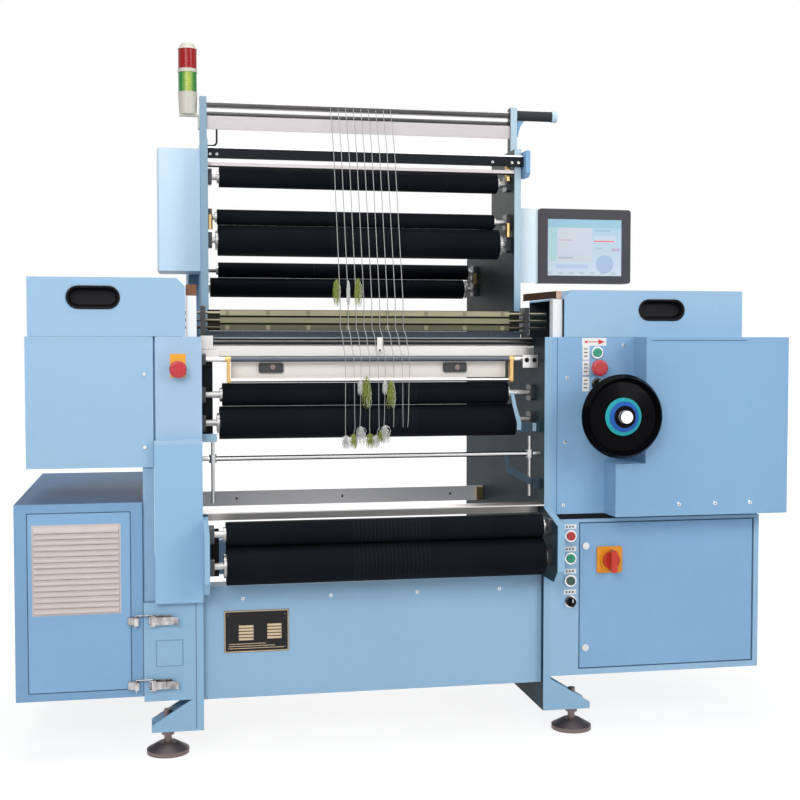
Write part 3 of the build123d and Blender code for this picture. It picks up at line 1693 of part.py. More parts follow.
with BuildPart() as guide_carrier:
    for side in (-1, 1):
        with BuildSketch(side_plane(side * carrier_inner)):
            span(carrier_front, carrier_back, carrier_bottom, carrier_top)
            for index in range(3):
                disc(guide_y, guide_z + index * guide_pitch, guide_rod_radius + fit, mode=Mode.SUBTRACT)
        extrude(amount=side * carrier_thickness)
        with BuildSketch(floor_plane(carrier_bottom)):
            disc(side * (carrier_inner + carrier_thickness / 2), carrier_post_y, carrier_post_radius)
        extrude(amount=-carrier_post_drop)
    with BuildSketch(side_plane(-carrier_inner)):
        disc(carrier_tie_y, (carrier_bottom + carrier_top) / 2, carrier_tie_radius)
    extrude(amount=2 * carrier_inner)
write(guide_carrier, "guide_carrier")


# Needle bed with its middle clip
with BuildPart() as needle_bed:
    with BuildSketch(side_plane(-half_gap)):
        span(bed_y, bed_y + bed_depth, bed_bottom, bed_bottom + bed_height)
    extrude(amount=frame_gap)
    with BuildSketch(front_plane(bed_y)):
        span(
            clip_x - clip_width / 2,
            clip_x + clip_width / 2,
            bed_bottom,
            bed_bottom + clip_height,
        )
    extrude(amount=clip_sheet)
write(needle_bed, "needle_bed")

# Needle bar: a plate on two push rods that run in the guides under the bed beam
with BuildPart() as needle_bar:
    with BuildSketch(front_plane(needle_y)):
        span(-needle_half, needle_half, needle_bottom, needle_bottom + needle_height)
    extrude(amount=-needle_sheet)
    for rod_x in (needle_rod_left, needle_rod_right):
        with BuildSketch(front_plane(needle_y)):
            with Locations((rod_x, needle_rod_z)):
                RectangleRounded(needle_cap_width, needle_cap_height, block_fillet)
        extrude(amount=needle_cap)
        with BuildSketch(front_plane(needle_y + needle_sheet)):
            disc(rod_x, needle_rod_z, needle_rod_radius)
        extrude(amount=-(needle_rod_end - needle_y - needle_sheet))
write(needle_bar, "needle_bar")

# Rocker bar: a shaft in the side frames with two links and the rod that they swing
with BuildPart() as rocker_bar:
    with BuildSketch(side_plane(-half_gap + journal_end_gap)):
        disc(rocker_y, rocker_z, rocker_radius)
    extrude(amount=frame_gap - 2 * journal_end_gap)
    for side in (-1, 1):
        with BuildSketch(side_plane(side * rocker_link_x - rocker_link / 2)):
            with Locations((rocker_y, rocker_z - rocker_drop / 2)):
                SlotCenterToCenter(rocker_drop, rocker_link_width, rotation=90)
        extrude(amount=rocker_link)
    with BuildSketch(side_plane(-rocker_link_x)):
        disc(rocker_y, rocker_z - rocker_drop, rocker_rod_radius)
    extrude(amount=2 * rocker_link_x)
write(rocker_bar, "rocker_bar")


# Yarn ends: from the yarn tube past the rollers and guide bars to the needle bed
yarn_gap = yarn_radius + yarn_lift
yarn_top_y = post_mid_y - top_tube_radius - yarn_gap
yarn_bar_y = bar_front - yarn_gap
yarn_bar_z = tension_bar_z + tension_bar_height / 2 + tension_edge_radius + 2 * yarn_gap
yarn_guide_y = guide_y - guide_depth / 2 - yarn_gap
yarn_bed_y = bed_y - clip_sheet - yarn_gap
yarn_guide_z = guide_z + 2 * guide_pitch + guide_height / 2 + carrier_lift + yarn_bend
yarn_rail_y = rail_y - rail_radius - yarn_gap
yarn_rail_z = rail_z + rail_pitch + rail_radius + 2 * yarn_gap
with BuildPart() as yarns:
    for end in range(yarn_count):
        yarn_x = bed_x + yarn_first_x + end * yarn_pitch
        with BuildLine() as route:
            Polyline(
                (yarn_x, front_y + yarn_top_y, top_tube_z),
                (yarn_x, front_y + yarn_bar_y, yarn_bar_z),
                (yarn_x, front_y + yarn_guide_y, yarn_guide_z),
                (yarn_x, front_y + yarn_guide_y, guide_z),
                (yarn_x, front_y + yarn_rail_y, yarn_rail_z),
                (yarn_x, front_y + yarn_bed_y, bed_bottom + bed_height),
            )
        with BuildSketch(Plane(origin=route.line @ 0, z_dir=route.line % 0)):
            Circle(yarn_radius)
        sweep(path=route.line, transition=Transition.RIGHT)
write(yarns, "yarns")
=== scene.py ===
# %% [markdown]
# # A crochet knitting machine
# The machine stands on two thick side frames. Yarn comes over the tubes at the top, passes the feed
# rollers and the guide bars, is knitted at the needle bed and leaves over the draw-off rollers in front.
# The solid model gives every rigid form in its true place, so this lesson starts from it and adds finishes,
# fasteners, plates, needles and yarn.

# %% Load the solid model
import math
import bpy
import bmesh
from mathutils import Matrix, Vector


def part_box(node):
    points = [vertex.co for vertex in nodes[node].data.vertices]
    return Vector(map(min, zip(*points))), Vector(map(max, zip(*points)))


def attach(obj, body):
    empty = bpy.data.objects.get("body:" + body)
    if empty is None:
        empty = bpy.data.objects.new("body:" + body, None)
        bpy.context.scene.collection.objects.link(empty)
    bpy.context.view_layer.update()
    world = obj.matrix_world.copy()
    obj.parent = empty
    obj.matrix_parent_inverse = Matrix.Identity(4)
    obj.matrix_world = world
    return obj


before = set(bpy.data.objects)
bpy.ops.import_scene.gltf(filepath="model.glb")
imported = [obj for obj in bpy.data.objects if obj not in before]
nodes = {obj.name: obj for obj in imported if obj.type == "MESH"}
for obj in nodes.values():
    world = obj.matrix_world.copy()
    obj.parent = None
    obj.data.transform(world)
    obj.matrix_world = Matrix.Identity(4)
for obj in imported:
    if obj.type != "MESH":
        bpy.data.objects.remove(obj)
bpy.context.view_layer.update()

# %% [markdown]
# ## A ruler for the machine
# Two places are enough to read the machine as its maker does: the middle of the working width, and the
# front of the right gear case. Every place below is in millimetres from there, with heights from the floor.

# %% Places in millimetres
MM = 0.001
bed_low, bed_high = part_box("needle_bed")
bed_x = (bed_low[0] + bed_high[0]) / 2
front_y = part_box("right_gear_case")[0][1]


def spot(x, y, z):
    """A place on the machine: across from the middle, back from the front plane, up from the floor."""
    return Vector((bed_x + x * MM, front_y + y * MM, z * MM))


def new_object(name, data):
    obj = bpy.data.objects.new(name, data)
    bpy.context.collection.objects.link(obj)
    return obj


print("middle of the working width", round(bed_x, 4), "front plane", round(front_y, 4))

# %% [markdown]
# ## Camera and light
# The camera stands a little left of the middle, at the height of the needle bed, and is turned to the right.
# The light is plain and comes from the operator's side: two wide soft boxes in front, one above, a weaker
# one behind and an even white surround. The floor is white to the camera and keeps a soft shadow under the feet.

# %% Camera
SENSOR_WIDTH = 36.0
FOCAL_PIXELS, PICTURE_PIXELS = 1250, 800
TILT_DOWN, TURN_RIGHT = 2.47, 10.87
camera_data = bpy.data.cameras.new("operator_view")
camera_data.sensor_width = SENSOR_WIDTH
camera_data.lens = SENSOR_WIDTH * FOCAL_PIXELS / PICTURE_PIXELS
camera = new_object("operator_view", camera_data)
camera.location = spot(-514, -2960, 966)
camera.rotation_euler = (math.radians(90 - TILT_DOWN), 0, math.radians(-TURN_RIGHT))
bpy.context.scene.camera = camera
bpy.context.scene.view_settings.view_transform = "Standard"
print("camera at", [round(v, 3) for v in camera.location])

# %% Shader arithmetic
def operator(operation, swap=False):
    return lambda value, other: value.math(operation, other, swap)


class Value:
    """A socket that takes part in sums: each operator adds one Math node."""

    def __init__(self, tree, socket):
        self.tree = tree
        self.socket = socket

    def math(self, operation, other=0.0, swap=False):
        node = self.tree.nodes.new("ShaderNodeMath")
        node.operation = operation
        pair = (other, self) if swap else (self, other)
        for place, term in zip(node.inputs, pair):
            if isinstance(term, Value):
                self.tree.links.new(term.socket, place)
            else:
                place.default_value = term
        return Value(self.tree, node.outputs[0])

    __add__ = __radd__ = operator("ADD")
    __sub__ = operator("SUBTRACT")
    __rsub__ = operator("SUBTRACT", swap=True)
    __mul__ = __rmul__ = operator("MULTIPLY")
    __truediv__ = operator("DIVIDE")
    __gt__ = operator("GREATER_THAN")
    __lt__ = operator("LESS_THAN")

    def ramp(self, low, high):
        """Nought below low, one above high and even between them."""
        return ((self - low) / (high - low)).math("MAXIMUM", 0.0).math("MINIMUM", 1.0)


def between(value, low, high):
    return (value > low) * (value < high)


def shaded(colour, share):
    """A colour made darker or lighter."""
    return tuple(min(1.0, c * share) for c in colour)


def add_node(tree, kind, settings=None, inputs=None):
    """Adds a node: its settings are set first, then the values or links of its sockets."""
    node = tree.nodes.new(kind)
    for key, value in (settings or {}).items():
        setattr(node, key, value)
    for key, value in (inputs or {}).items():
        value = value.socket if isinstance(value, Value) else value
        if isinstance(value, bpy.types.NodeSocket):
            tree.links.new(value, node.inputs[key])
        else:
            node.inputs[key].default_value = value
    return node


class Finish:
    """A material on a Principled shader. Numbers that never vary go on the shader's own sockets."""

    def __init__(self, name, **fixed):
        self.material = bpy.data.materials.new(name)
        self.material.use_nodes = True
        self.tree = self.material.node_tree
        self.shader = next(n for n in self.tree.nodes if n.type == "BSDF_PRINCIPLED")
        for socket, value in fixed.items():
            self.shader.inputs[socket.replace("_", " ")].default_value = value
        self.place = self.node("ShaderNodeTexCoord").outputs["Object"]

    def node(self, kind, settings=None, inputs=None):
        return add_node(self.tree, kind, settings, inputs)

    def parts(self, vector):
        node = self.node("ShaderNodeSeparateXYZ", inputs={"Vector": vector})
        return [Value(self.tree, out) for out in node.outputs]

    def axes(self):
        """The three object coordinates as values, in metres."""
        return self.parts(self.place)

    def facing(self):
        """The way the surface faces, as three values from -1 to 1: across, back and up."""
        return self.parts(self.node("ShaderNodeNewGeometry").outputs["Normal"])

    def ruler(self):
        """The three coordinates in the machine's millimetres, as spot() takes them."""
        x, y, z = self.axes()
        return (x - bed_x) / MM, (y - front_y) / MM, z / MM

    def noise(self, scale, stretch=(1, 1, 1), detail=3.0):
        where = self.node("ShaderNodeMapping", inputs={"Vector": self.place, "Scale": stretch})
        settings = {"Vector": where.outputs[0], "Scale": scale, "Detail": detail}
        noise = self.node("ShaderNodeTexNoise", inputs=settings)
        return Value(self.tree, noise.outputs[0])

    def mix(self, share, first, second):
        """A colour between two others, each a tuple or another mix."""
        # In a colour mix, sockets 6 and 7 are the two colours and output 2 is the result.
        node = self.node("ShaderNodeMix", {"data_type": "RGBA"}, {0: share})
        for place, colour in ((6, first), (7, second)):
            if isinstance(colour, tuple):
                node.inputs[place].default_value = (*colour, 1.0)
            else:
                self.tree.links.new(colour, node.inputs[place])
        return node.outputs[2]

    def layers(self, tone, *coats):
        """Lays colours over a tone in turn, each where its own mask is one."""
        for mask, colour in coats:
            tone = self.mix(mask, tone, colour)
        return tone

    def feed(self, name, value):
        value = value.socket if isinstance(value, Value) else value
        self.tree.links.new(value, self.shader.inputs[name])

    def done(self, tone, rough, height, strength, distance=0.0003):
        """Feeds the colour, the roughness and a bump, and gives the finished material."""
        self.feed("Base Color", tone)
        self.feed("Roughness", rough)
        relief = {"Height": height, "Strength": strength, "Distance": distance}
        self.feed("Normal", self.node("ShaderNodeBump", inputs=relief).outputs[0])
        return self.material


print("shader arithmetic ready")

# %% Floor, surround and soft boxes
def soft_box(name, place, aim, size, power):
    data = bpy.data.lights.new(name, "AREA")
    data.shape = "RECTANGLE"
    data.size, data.size_y = size
    data.energy = power
    lamp = new_object(name, data)
    lamp.location = place
    lamp.rotation_euler = (Vector(aim) - Vector(place)).to_track_quat("-Z", "Y").to_euler()


soft_box("key_box", (-1.9, -4.2, 2.7), (0, 0, 1.0), (2.4, 2.0), 108)
soft_box("fill_box", (2.6, -3.8, 2.2), (0.3, 0, 0.9), (2.0, 2.0), 60)
soft_box("top_box", (-0.2, -0.7, 4.0), (-0.1, 0, 0.8), (3.0, 2.0), 62)
soft_box("back_box", (0.4, 4.0, 2.6), (0, 0, 0.9), (3.0, 2.0), 42)


SEEN = ("Is Camera Ray", "Is Glossy Ray", "Is Transmission Ray")


def seen_share(tree):
    """One for the rays through which the machine's surroundings are seen, and nought for the light that falls."""
    path = tree.nodes.new("ShaderNodeLightPath")
    share, *others = (Value(tree, path.outputs[ray]) for ray in SEEN)
    for ray in others:
        share = share.math("MAXIMUM", ray)
    return share


world = bpy.data.worlds.new("white_surround")
world.use_nodes = True
bpy.context.scene.world = world
wt = world.node_tree
wt.nodes.clear()
even = add_node(wt, "ShaderNodeBackground", inputs={0: (0.97, 0.98, 1.0, 1), 1: 0.25})
white = add_node(wt, "ShaderNodeBackground", inputs={0: (1, 1, 1, 1)})
surround = {0: seen_share(wt), 1: even.outputs[0], 2: white.outputs[0]}
both = add_node(wt, "ShaderNodeMixShader", inputs=surround)
add_node(wt, "ShaderNodeOutputWorld", inputs={0: both.outputs[0]})

floor_mesh = bpy.data.meshes.new("floor")
floor_mesh.from_pydata([(-9, -9, 0), (9, -9, 0), (9, 9, 0), (-9, 9, 0)], [], [(0, 1, 2, 3)])
floor = new_object("floor", floor_mesh)
floor_paint = bpy.data.materials.new("floor_white")
floor_paint.use_nodes = True
ft = floor_paint.node_tree
ft.nodes.clear()
matt = add_node(ft, "ShaderNodeBsdfDiffuse", inputs={0: (0.85, 0.85, 0.85, 1)})
glow = add_node(ft, "ShaderNodeEmission", inputs={1: 1.12})
where = add_node(ft, "ShaderNodeTexCoord").outputs["Object"]
parts = add_node(ft, "ShaderNodeSeparateXYZ", inputs={0: where})
beside, behind = (Value(ft, parts.outputs[i]).math("ABSOLUTE") for i in (0, 1))
away = beside.ramp(0.9, 2.0).math("MAXIMUM", behind.ramp(0.5, 1.6))
lit_share = seen_share(ft) * (0.76 + away * 0.24)
blend = add_node(ft, "ShaderNodeMixShader", inputs={0: lit_share, 1: matt.outputs[0], 2: glow.outputs[0]})
add_node(ft, "ShaderNodeOutputMaterial", inputs={0: blend.outputs[0]})
floor.data.materials.append(floor_paint)
print("floor and lights ready")

# %% [markdown]
# ## Paint
# The covers are folded sheet in one pale blue paint, sprayed and baked. The paler blues of the upper covers and the
# darker blue low on the column are painted light from above. Such paint is never quite even: it has a fine
# orange-peel surface, and a slow drift in tone. The side frames carry the same paint, but their inner faces are
# far darker, with stains and painted shade, and the insides of the hoods and the rims under them are painted
# shade in black.

# %% Blue paint on covers and frames
# A face looks one way when that part of its normal is past FLAT. The pairs are heights on the side frames
# between which one tone passes into the next.
FLAT = 0.7
# The black used for painted shade inside and under the hoods.
PAINTED_SHADE_BLACK = (0.022, 0.026, 0.030)
BARE_STEEL = (0.62, 0.63, 0.64)
SHOULDER, KNEE, CROWN = (1060.0, 1140.0), (780.0, 1000.0), (1230.0, 1380.0)


def blue_paint(name, colour, inner_stain_and_shade=None, bright=None, tower=None, gleam=0.16, lower=None, shaded_top=None,
               shaded_above=None, shaded_behind=None):
    """Paint in one blue. The options give faces, heights or depths of one node a tone of their own.

    inner_stain_and_shade is the side that an inner face looks to, with its tones low down, in the middle and high
    up: painted shade, with stains over it. bright is the depth before which bare steel shows, tower the tone of the
    front above the shoulder, lower a height and the tone below it, and shaded_top the painted shade of the top.
    Above the height shaded_above, and on front faces behind the depth shaded_behind, the paint is painted shade in
    black.
    """
    paint = Finish(name, Coat_Weight=gleam * 0.2, Coat_Roughness=0.3, Specular_IOR_Level=gleam)
    y, z = paint.ruler()[1:]
    across, back, up = paint.facing()
    drift = paint.noise(2.2, detail=2.0)
    fine = paint.noise(55.0)
    tone = paint.mix(drift * 0.7 + fine * 0.25, shaded(colour, 0.88), shaded(colour, 1.08))
    if tower:
        tone = paint.mix((back < -FLAT) * z.ramp(*SHOULDER), tone, tower)
    if lower:
        level, tone_below = lower
        tone = paint.mix(z < level, tone, tone_below)
    # Painted shade: the top is darker, as in the shadow of the part above it.
    if shaded_top:
        tone = paint.mix(up > FLAT, tone, shaded_top)
    # Painted shade: black above the given height.
    if shaded_above:
        tone = paint.mix(z > shaded_above, tone, PAINTED_SHADE_BLACK)
    # Painted shade: front faces behind the given depth are black.
    if shaded_behind:
        tone = paint.mix((back < -FLAT) * (y > shaded_behind), tone, PAINTED_SHADE_BLACK)
    # Painted shade on the inner faces, in tones by height, with stains over it.
    if inner_stain_and_shade:
        side, low, mid, high = inner_stain_and_shade
        stain = paint.noise(6.0, stretch=(1, 1, 0.5))
        shade = paint.mix(z.ramp(*CROWN), paint.mix(z.ramp(*KNEE), low, mid), high)
        tone = paint.mix(across * side > FLAT, tone, paint.mix(stain * 0.6, shade, shaded(mid, 0.5)))
    if bright:
        shine = y < bright
        tone = paint.mix(shine, tone, BARE_STEEL)
        paint.feed("Metallic", shine * 0.95)
    return paint.done(tone, 0.40 + fine * 0.14, paint.noise(900.0, detail=1.0), 0.08, 0.0004)


panel_blue = (0.23, 0.405, 0.615)
# Painted light: lit_upper_blue, on the hoods and the left gear case, is paler for the light that falls from above.
lit_upper_blue = (0.315, 0.495, 0.675)
CASE_TOP = 988.5
# Tones of painted shade for the frames' inner faces: the side, then low down, in the middle and high up.
left_inside = (1, (0.05, 0.085, 0.11), (0.05, 0.085, 0.11), (0.10, 0.14, 0.16))
right_inside = (-1, (0.032, 0.064, 0.084), (0.008, 0.014, 0.018), (0.075, 0.088, 0.080))
cover_blue = blue_paint("cover_blue", panel_blue)
door_blue = blue_paint("door_blue", panel_blue, bright=-0.5)
# Painted shade: the insides of the hoods, behind 250 mm, are black.
hood_blue = blue_paint("hood_blue", lit_upper_blue, shaded_behind=250.0)
# Painted light: the column is paler above 738 mm and darker below, as the light from above falls off.
column_blue = blue_paint("column_blue", (0.36, 0.52, 0.69), lower=(738.0, (0.275, 0.465, 0.655)))
# Painted shade: the gear cases are black above their tops, under the hoods.
left_case_blue = blue_paint("left_case_blue", lit_upper_blue, shaded_above=CASE_TOP)
right_case_blue = blue_paint("right_case_blue", (0.245, 0.425, 0.64), shaded_above=CASE_TOP)
# Painted shade: the left cabinet's top is darker, in the shadow of the left gear case.
cabinet_blue = blue_paint("cabinet_blue", (0.205, 0.36, 0.55), shaded_top=(0.10, 0.19, 0.315), gleam=0.02)
# Painted light: the tower cover is a near white blue for the light from above.
tower_blue = blue_paint("tower_blue", (0.58, 0.72, 0.84))
beam_blue = blue_paint("beam_blue", (0.295, 0.47, 0.65))
# Painted light: the monitor bracket is almost white for the light from above.
bracket_blue = blue_paint("bracket_blue", (0.80, 0.90, 0.95))
left_frame_blue = blue_paint("left_frame_blue", (0.285, 0.465, 0.635), inner_stain_and_shade=left_inside,
                             tower=(0.25, 0.36, 0.45), gleam=0.06)
right_frame_blue = blue_paint("right_frame_blue", (0.28, 0.455, 0.62), inner_stain_and_shade=right_inside,
                              tower=(0.44, 0.58, 0.67), gleam=0.05)
print("paints:", cover_blue.name, door_blue.name, left_frame_blue.name, right_frame_blue.name)

# %% [markdown]
# ## Metals
# Ground bars are brushed along their length, so their noise is stretched that way. Chrome is nearly a mirror
# with faint wiping marks, the guide bars are an oiled olive bronze, and blocks are dark machined iron.

# %% Metals
BRUSHED, CAST = (0.02, 1, 1), (1, 1, 1)


def metal(name, colour, rough, stretch=BRUSHED, tint=0.12, grain=260.0, bump=0.05):
    finish = Finish(name, Metallic=1.0)
    lines = finish.noise(grain, stretch=stretch)
    worn = finish.noise(9.0)
    tone = finish.mix(lines * 0.6 + worn * 0.4, shaded(colour, 1 - tint), colour)
    return finish.done(tone, rough + (lines - 0.5) * 0.12 + (worn - 0.5) * 0.08, lines, bump)


chrome = metal("bright_chrome", (0.86, 0.86, 0.87), 0.13, bump=0.02)
bright_steel = metal("ground_steel", (0.70, 0.69, 0.68), 0.30)
dark_steel = metal("machined_iron", (0.085, 0.087, 0.094), 0.42, stretch=CAST, grain=120.0)
upper_bronze = metal("upper_bar_bronze", (0.36, 0.335, 0.225), 0.34, tint=0.45)
middle_bronze = metal("middle_bar_bronze", (0.25, 0.235, 0.155), 0.36, tint=0.45)
lower_bronze = metal("lower_bar_bronze", (0.115, 0.108, 0.075), 0.40, tint=0.45)
brass = metal("brass", (0.72, 0.50, 0.22), 0.30, stretch=CAST)
foot_iron = metal("foot_iron", (0.22, 0.17, 0.165), 0.46, stretch=CAST, grain=90.0)
print("metals ready")

# %% [markdown]
# ## Roller covers
# The rollers are covered with black abrasive cloth wound edge to edge. It is dark and dull, with a fine
# grain, and the yarns polish pale rings where they always run. The roller's end plates are turned steel.

# %% Roller finish
LANE_MIDDLE, LANE_REACH = 20.0, 95


def roller_finish(name, left, right):
    """Cloth between the two ends of the face, in millimetres left and right of the middle, and steel beyond."""
    finish = Finish(name, Specular_IOR_Level=0.02)
    x = finish.ruler()[0]
    plate = ((x < -left) + (x > right)).math("MINIMUM", 1.0)
    grain = finish.noise(700.0, detail=2.0)
    cloud = finish.noise(7.0)
    lane = (x - LANE_MIDDLE).math("ABSOLUTE") < LANE_REACH
    ring = ((x * 1.05).math("SINE") * (x * 0.413).math("SINE")).math("MAXIMUM", 0.0)
    polish = lane * ring * 0.35 + cloud * 0.3
    cloth = finish.mix(polish, (0.0028, 0.0038, 0.0060), (0.024, 0.029, 0.038))
    finish.feed("Metallic", plate * 0.95)
    tone = finish.mix(plate, cloth, (0.52, 0.51, 0.50))
    rough = 0.46 + grain * 0.10 - lane * ring * 0.10 - plate * 0.16
    return finish.done(tone, rough, grain * (1 - plate), 0.30, 0.0006)


roller_faces = {
    "top_roller": (360, 382), "front_feed_roller": (364, 385), "front_press_roller": (366, 373),
    "rear_feed_roller": (370, 377), "rear_press_roller": (347, 391), "middle_roller": (373, 367),
    "middle_press_roller": (366, 347), "draw_roller": (366, 397), "draw_press_roller": (367, 394),
}
roller_cloth = {name: roller_finish(name + "_cloth", *ends) for name, ends in roller_faces.items()}
print("roller finishes:", len(roller_cloth))

# %% [markdown]
# ## Mouldings
# Buttons, grips and the lamp are moulded plastic. Each has a little grain and a soft gloss. The lamp's two
# lenses are one piece in the solid model, so their colour is chosen by height, and ribs run round them.

# %% Plastics
def plastic(name, colour, rough=0.32, grain=400.0, depth=0.12, coat=0.0, spread=0.15, gleam=0.4):
    finish = Finish(name, Coat_Weight=coat, Coat_Roughness=0.1, Specular_IOR_Level=gleam)
    cloud = finish.noise(30.0)
    fine = finish.noise(grain, detail=1.0)
    tone = finish.mix(cloud, shaded(colour, 1 - spread), colour)
    return finish.done(tone, rough + (fine - 0.5) * 0.15, fine, depth)


gloss_black = plastic("gloss_black", (0.008, 0.008, 0.009), 0.20, coat=0.15, gleam=0.2)
soft_black = plastic("soft_black", (0.008, 0.008, 0.010), 0.42, gleam=0.10)
case_grey = plastic("panel_grey", (0.078, 0.075, 0.085), 0.45, gleam=0.08)
stop_red = plastic("stop_red", (0.52, 0.028, 0.035), 0.28, coat=0.3)
knob_red = plastic("knob_red", (0.56, 0.030, 0.012), 0.34, coat=0.2)
start_green = plastic("start_green", (0.015, 0.30, 0.17), 0.30, coat=0.3)
lamp_green = plastic("lamp_green", (0.010, 0.075, 0.050), 0.20, coat=0.6)
plate_orange = plastic("plate_orange", (0.80, 0.30, 0.012), 0.36)
plate_yellow = plastic("plate_yellow", (0.88, 0.42, 0.04), 0.36)
label_white = plastic("label_white", (0.80, 0.80, 0.79), 0.40, spread=0.05)
print_grey = plastic("print_grey", (0.18, 0.18, 0.20), 0.50)
seam_and_shadow_blue = plastic("seam_and_shadow_blue", (0.06, 0.115, 0.19), 0.45, gleam=0.1)
print_red = plastic("print_red", (0.62, 0.030, 0.045), 0.40)
lamp_grey = plastic("lamp_grey", (0.55, 0.53, 0.46), 0.40, spread=0.06)
louvre_grey = plastic("louvre_grey", (0.58, 0.51, 0.49), 0.50, spread=0.08)
lead_black = plastic("lead_black", (0.010, 0.010, 0.010), 0.5, gleam=0.2)
gear_grey = plastic("gear_grey", (0.42, 0.43, 0.44), 0.5)
print("plastics ready")

# %% Lamp lenses
lenses = Finish("lamp_lens", Coat_Weight=0.15, Coat_Roughness=0.06, Specular_IOR_Level=0.2)
x, _, z = lenses.axes()
low_lens, high_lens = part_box("lamp_lenses")
lamp_x, lens_change = ((low_lens[i] + high_lens[i]) / 2 for i in (0, 2))
RIB_TURN = 1250.0
ribs = (z * RIB_TURN).math("SINE") * 0.5 + 0.5
spots = lenses.noise(120.0)
# Painted light: the green lens is yellow-green round its middle, as if lit by the bulb behind it.
painted_bulb_glow = 1 - ((x - lamp_x) / MM).math("ABSOLUTE").ramp(2.0, 16.0)
green = lenses.mix(ribs * 0.5 + spots * 0.2, (0.010, 0.16, 0.035), (0.05, 0.30, 0.06))
green = lenses.mix(painted_bulb_glow * (0.35 + spots * 0.5), green, (0.62, 0.66, 0.10))
red = lenses.mix(ribs * 0.5 + spots * 0.2, (0.22, 0.002, 0.003), (0.46, 0.004, 0.006))
lens_colours = lenses.done(lenses.mix(z > lens_change, green, red), 0.14 + spots * 0.1, ribs, 0.3, 0.0008)
print("lens rings change colour at", round(lens_change, 3))

# %% [markdown]
# ## Handwheel, needle plate and yarn
# The wheel is one black moulding with coloured rings round a bolted hub. On a turned part, a ring is a range
# of radius, so the distance from the shaft chooses the colour, on the front of the dish only.

# %% Handwheel rings
wheel_low, wheel_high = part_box("handwheel")
wheel_x, wheel_z = ((wheel_low[i] + wheel_high[i]) / 2 for i in (0, 2))
wheel = Finish("handwheel_black", Coat_Weight=0.02, Coat_Roughness=0.06, Specular_IOR_Level=0.03)
x, y, z = wheel.axes()
radius = ((x - wheel_x) * (x - wheel_x) + (z - wheel_z) * (z - wheel_z)).math("SQRT")
DISH_FRONT = 0.1225
RING_RADII = (0.0455, 0.0370, 0.0270, 0.0152)
front = y < front_y - DISH_FRONT
teal, blue, core, hub = (front * (radius < reach) for reach in RING_RADII)
rings = (
    (teal, (0.03, 0.36, 0.40)), (blue, (0.03, 0.11, 0.42)), (core, (0.004, 0.004, 0.005)), (hub, (0.80, 0.80, 0.80)),
)
tone = wheel.layers((0.0025, 0.0022, 0.0035), *rings)
wheel.feed("Metallic", hub)
wheel_black = wheel.done(tone, 0.17 + teal * 0.18 + wheel.noise(80.0) * 0.08, wheel.noise(300.0), 0.05)
print("wheel centre", round(wheel_x, 3), round(wheel_z, 3))

# %% Needle plate and yarn
plate = Finish("needle_plate", Metallic=0.25)
plate_white = (0.84, 0.81, 0.77)
streak = plate.noise(60.0, stretch=(0.05, 1, 1))
smear = plate.noise(5.0)
tone = plate.mix(streak * 0.5 + smear * 0.5, shaded(plate_white, 0.82), plate_white)
needle_white = plate.done(tone, 0.30 + smear * 0.15, streak, 0.06)
yarn_colours = {"white": (0.72, 0.72, 0.70), "grey": (0.42, 0.42, 0.42), "green": (0.30, 0.36, 0.05)}
yarn_finishes = {}
for shade, colour in yarn_colours.items():
    strand = Finish("yarn_" + shade, Sheen_Weight=0.3)
    twist = strand.noise(900.0, stretch=(1, 1, 0.25))
    tone = strand.mix(twist, shaded(colour, 0.6), colour)
    yarn_finishes[shade] = strand.done(tone, 0.75 + twist * 0.2, twist, 0.4, 0.0006)
print("plates and yarns ready")

# %% [markdown]
# ## Several pieces in one node
# The bars over the rollers are one node of the solid model, and so are the cross bars. The finish tells the
# pieces apart by their place on the machine.

# %% Bars told apart by place
INNER_POST, SLEEVE_END, TUBE_LEVEL, FLAT_BAR_LOW, BAR_BACK = 436.0, 535.8, 1573.0, 1425.6, 276.0
bars = Finish("yarn_bars", Specular_IOR_Level=0.08)
x, y, z = bars.ruler()
lines = bars.noise(260.0, stretch=BRUSHED)
inside = x < INNER_POST
deflector = between(z, 1524.5, 1559.5) * between(y, 321.0, 327.0) * inside
black_bar = between(z, 1440.0, 1467.6) * (y < BAR_BACK) * (x < 439.9)
flat_bar = between(z, FLAT_BAR_LOW, 1436.0) * between(y, 278.0, 287.0) * inside
sleeve = between(x, 436.5, SLEEVE_END) * (z > TUBE_LEVEL)
cap = x > SLEEVE_END
blue = (x > 435.9) * (z < TUBE_LEVEL) * (1 - black_bar)
dull = (black_bar + flat_bar + deflector + sleeve + cap + blue).math("MINIMUM", 1.0)
# Painted reflection: bright metal is dark where its faces look sideways and pale where they look up or down.
painted_reflection_belt = between(bars.facing()[2], -0.72, 0.62)
tone = bars.layers(
    bars.mix(painted_reflection_belt * (0.75 + lines * 0.25), (0.66, 0.63, 0.63), (0.012, 0.016, 0.016)),
    # Painted highlight: a pale band from 1462 to 1480 mm, over the upper half of the round tension bar.
    (between(z, 1462.0, 1480.0) * (1 - dull), (0.84, 0.82, 0.82)),
    (deflector, (0.60, 0.55, 0.565)),
    (flat_bar, (0.80, 0.74, 0.74)),
    ((z < FLAT_BAR_LOW) * inside * (y > BAR_BACK), (0.020, 0.022, 0.024)),
    (black_bar, (0.010, 0.012, 0.016)),
    (sleeve, (0.035, 0.038, 0.042)),
    (cap, (0.52, 0.68, 0.82)),
    (blue, panel_blue),
)
bars.feed("Metallic", 1 - dull)
yarn_bar_mix = bars.done(tone, 0.22 + lines * 0.12 + dull * 0.18, lines, 0.05)

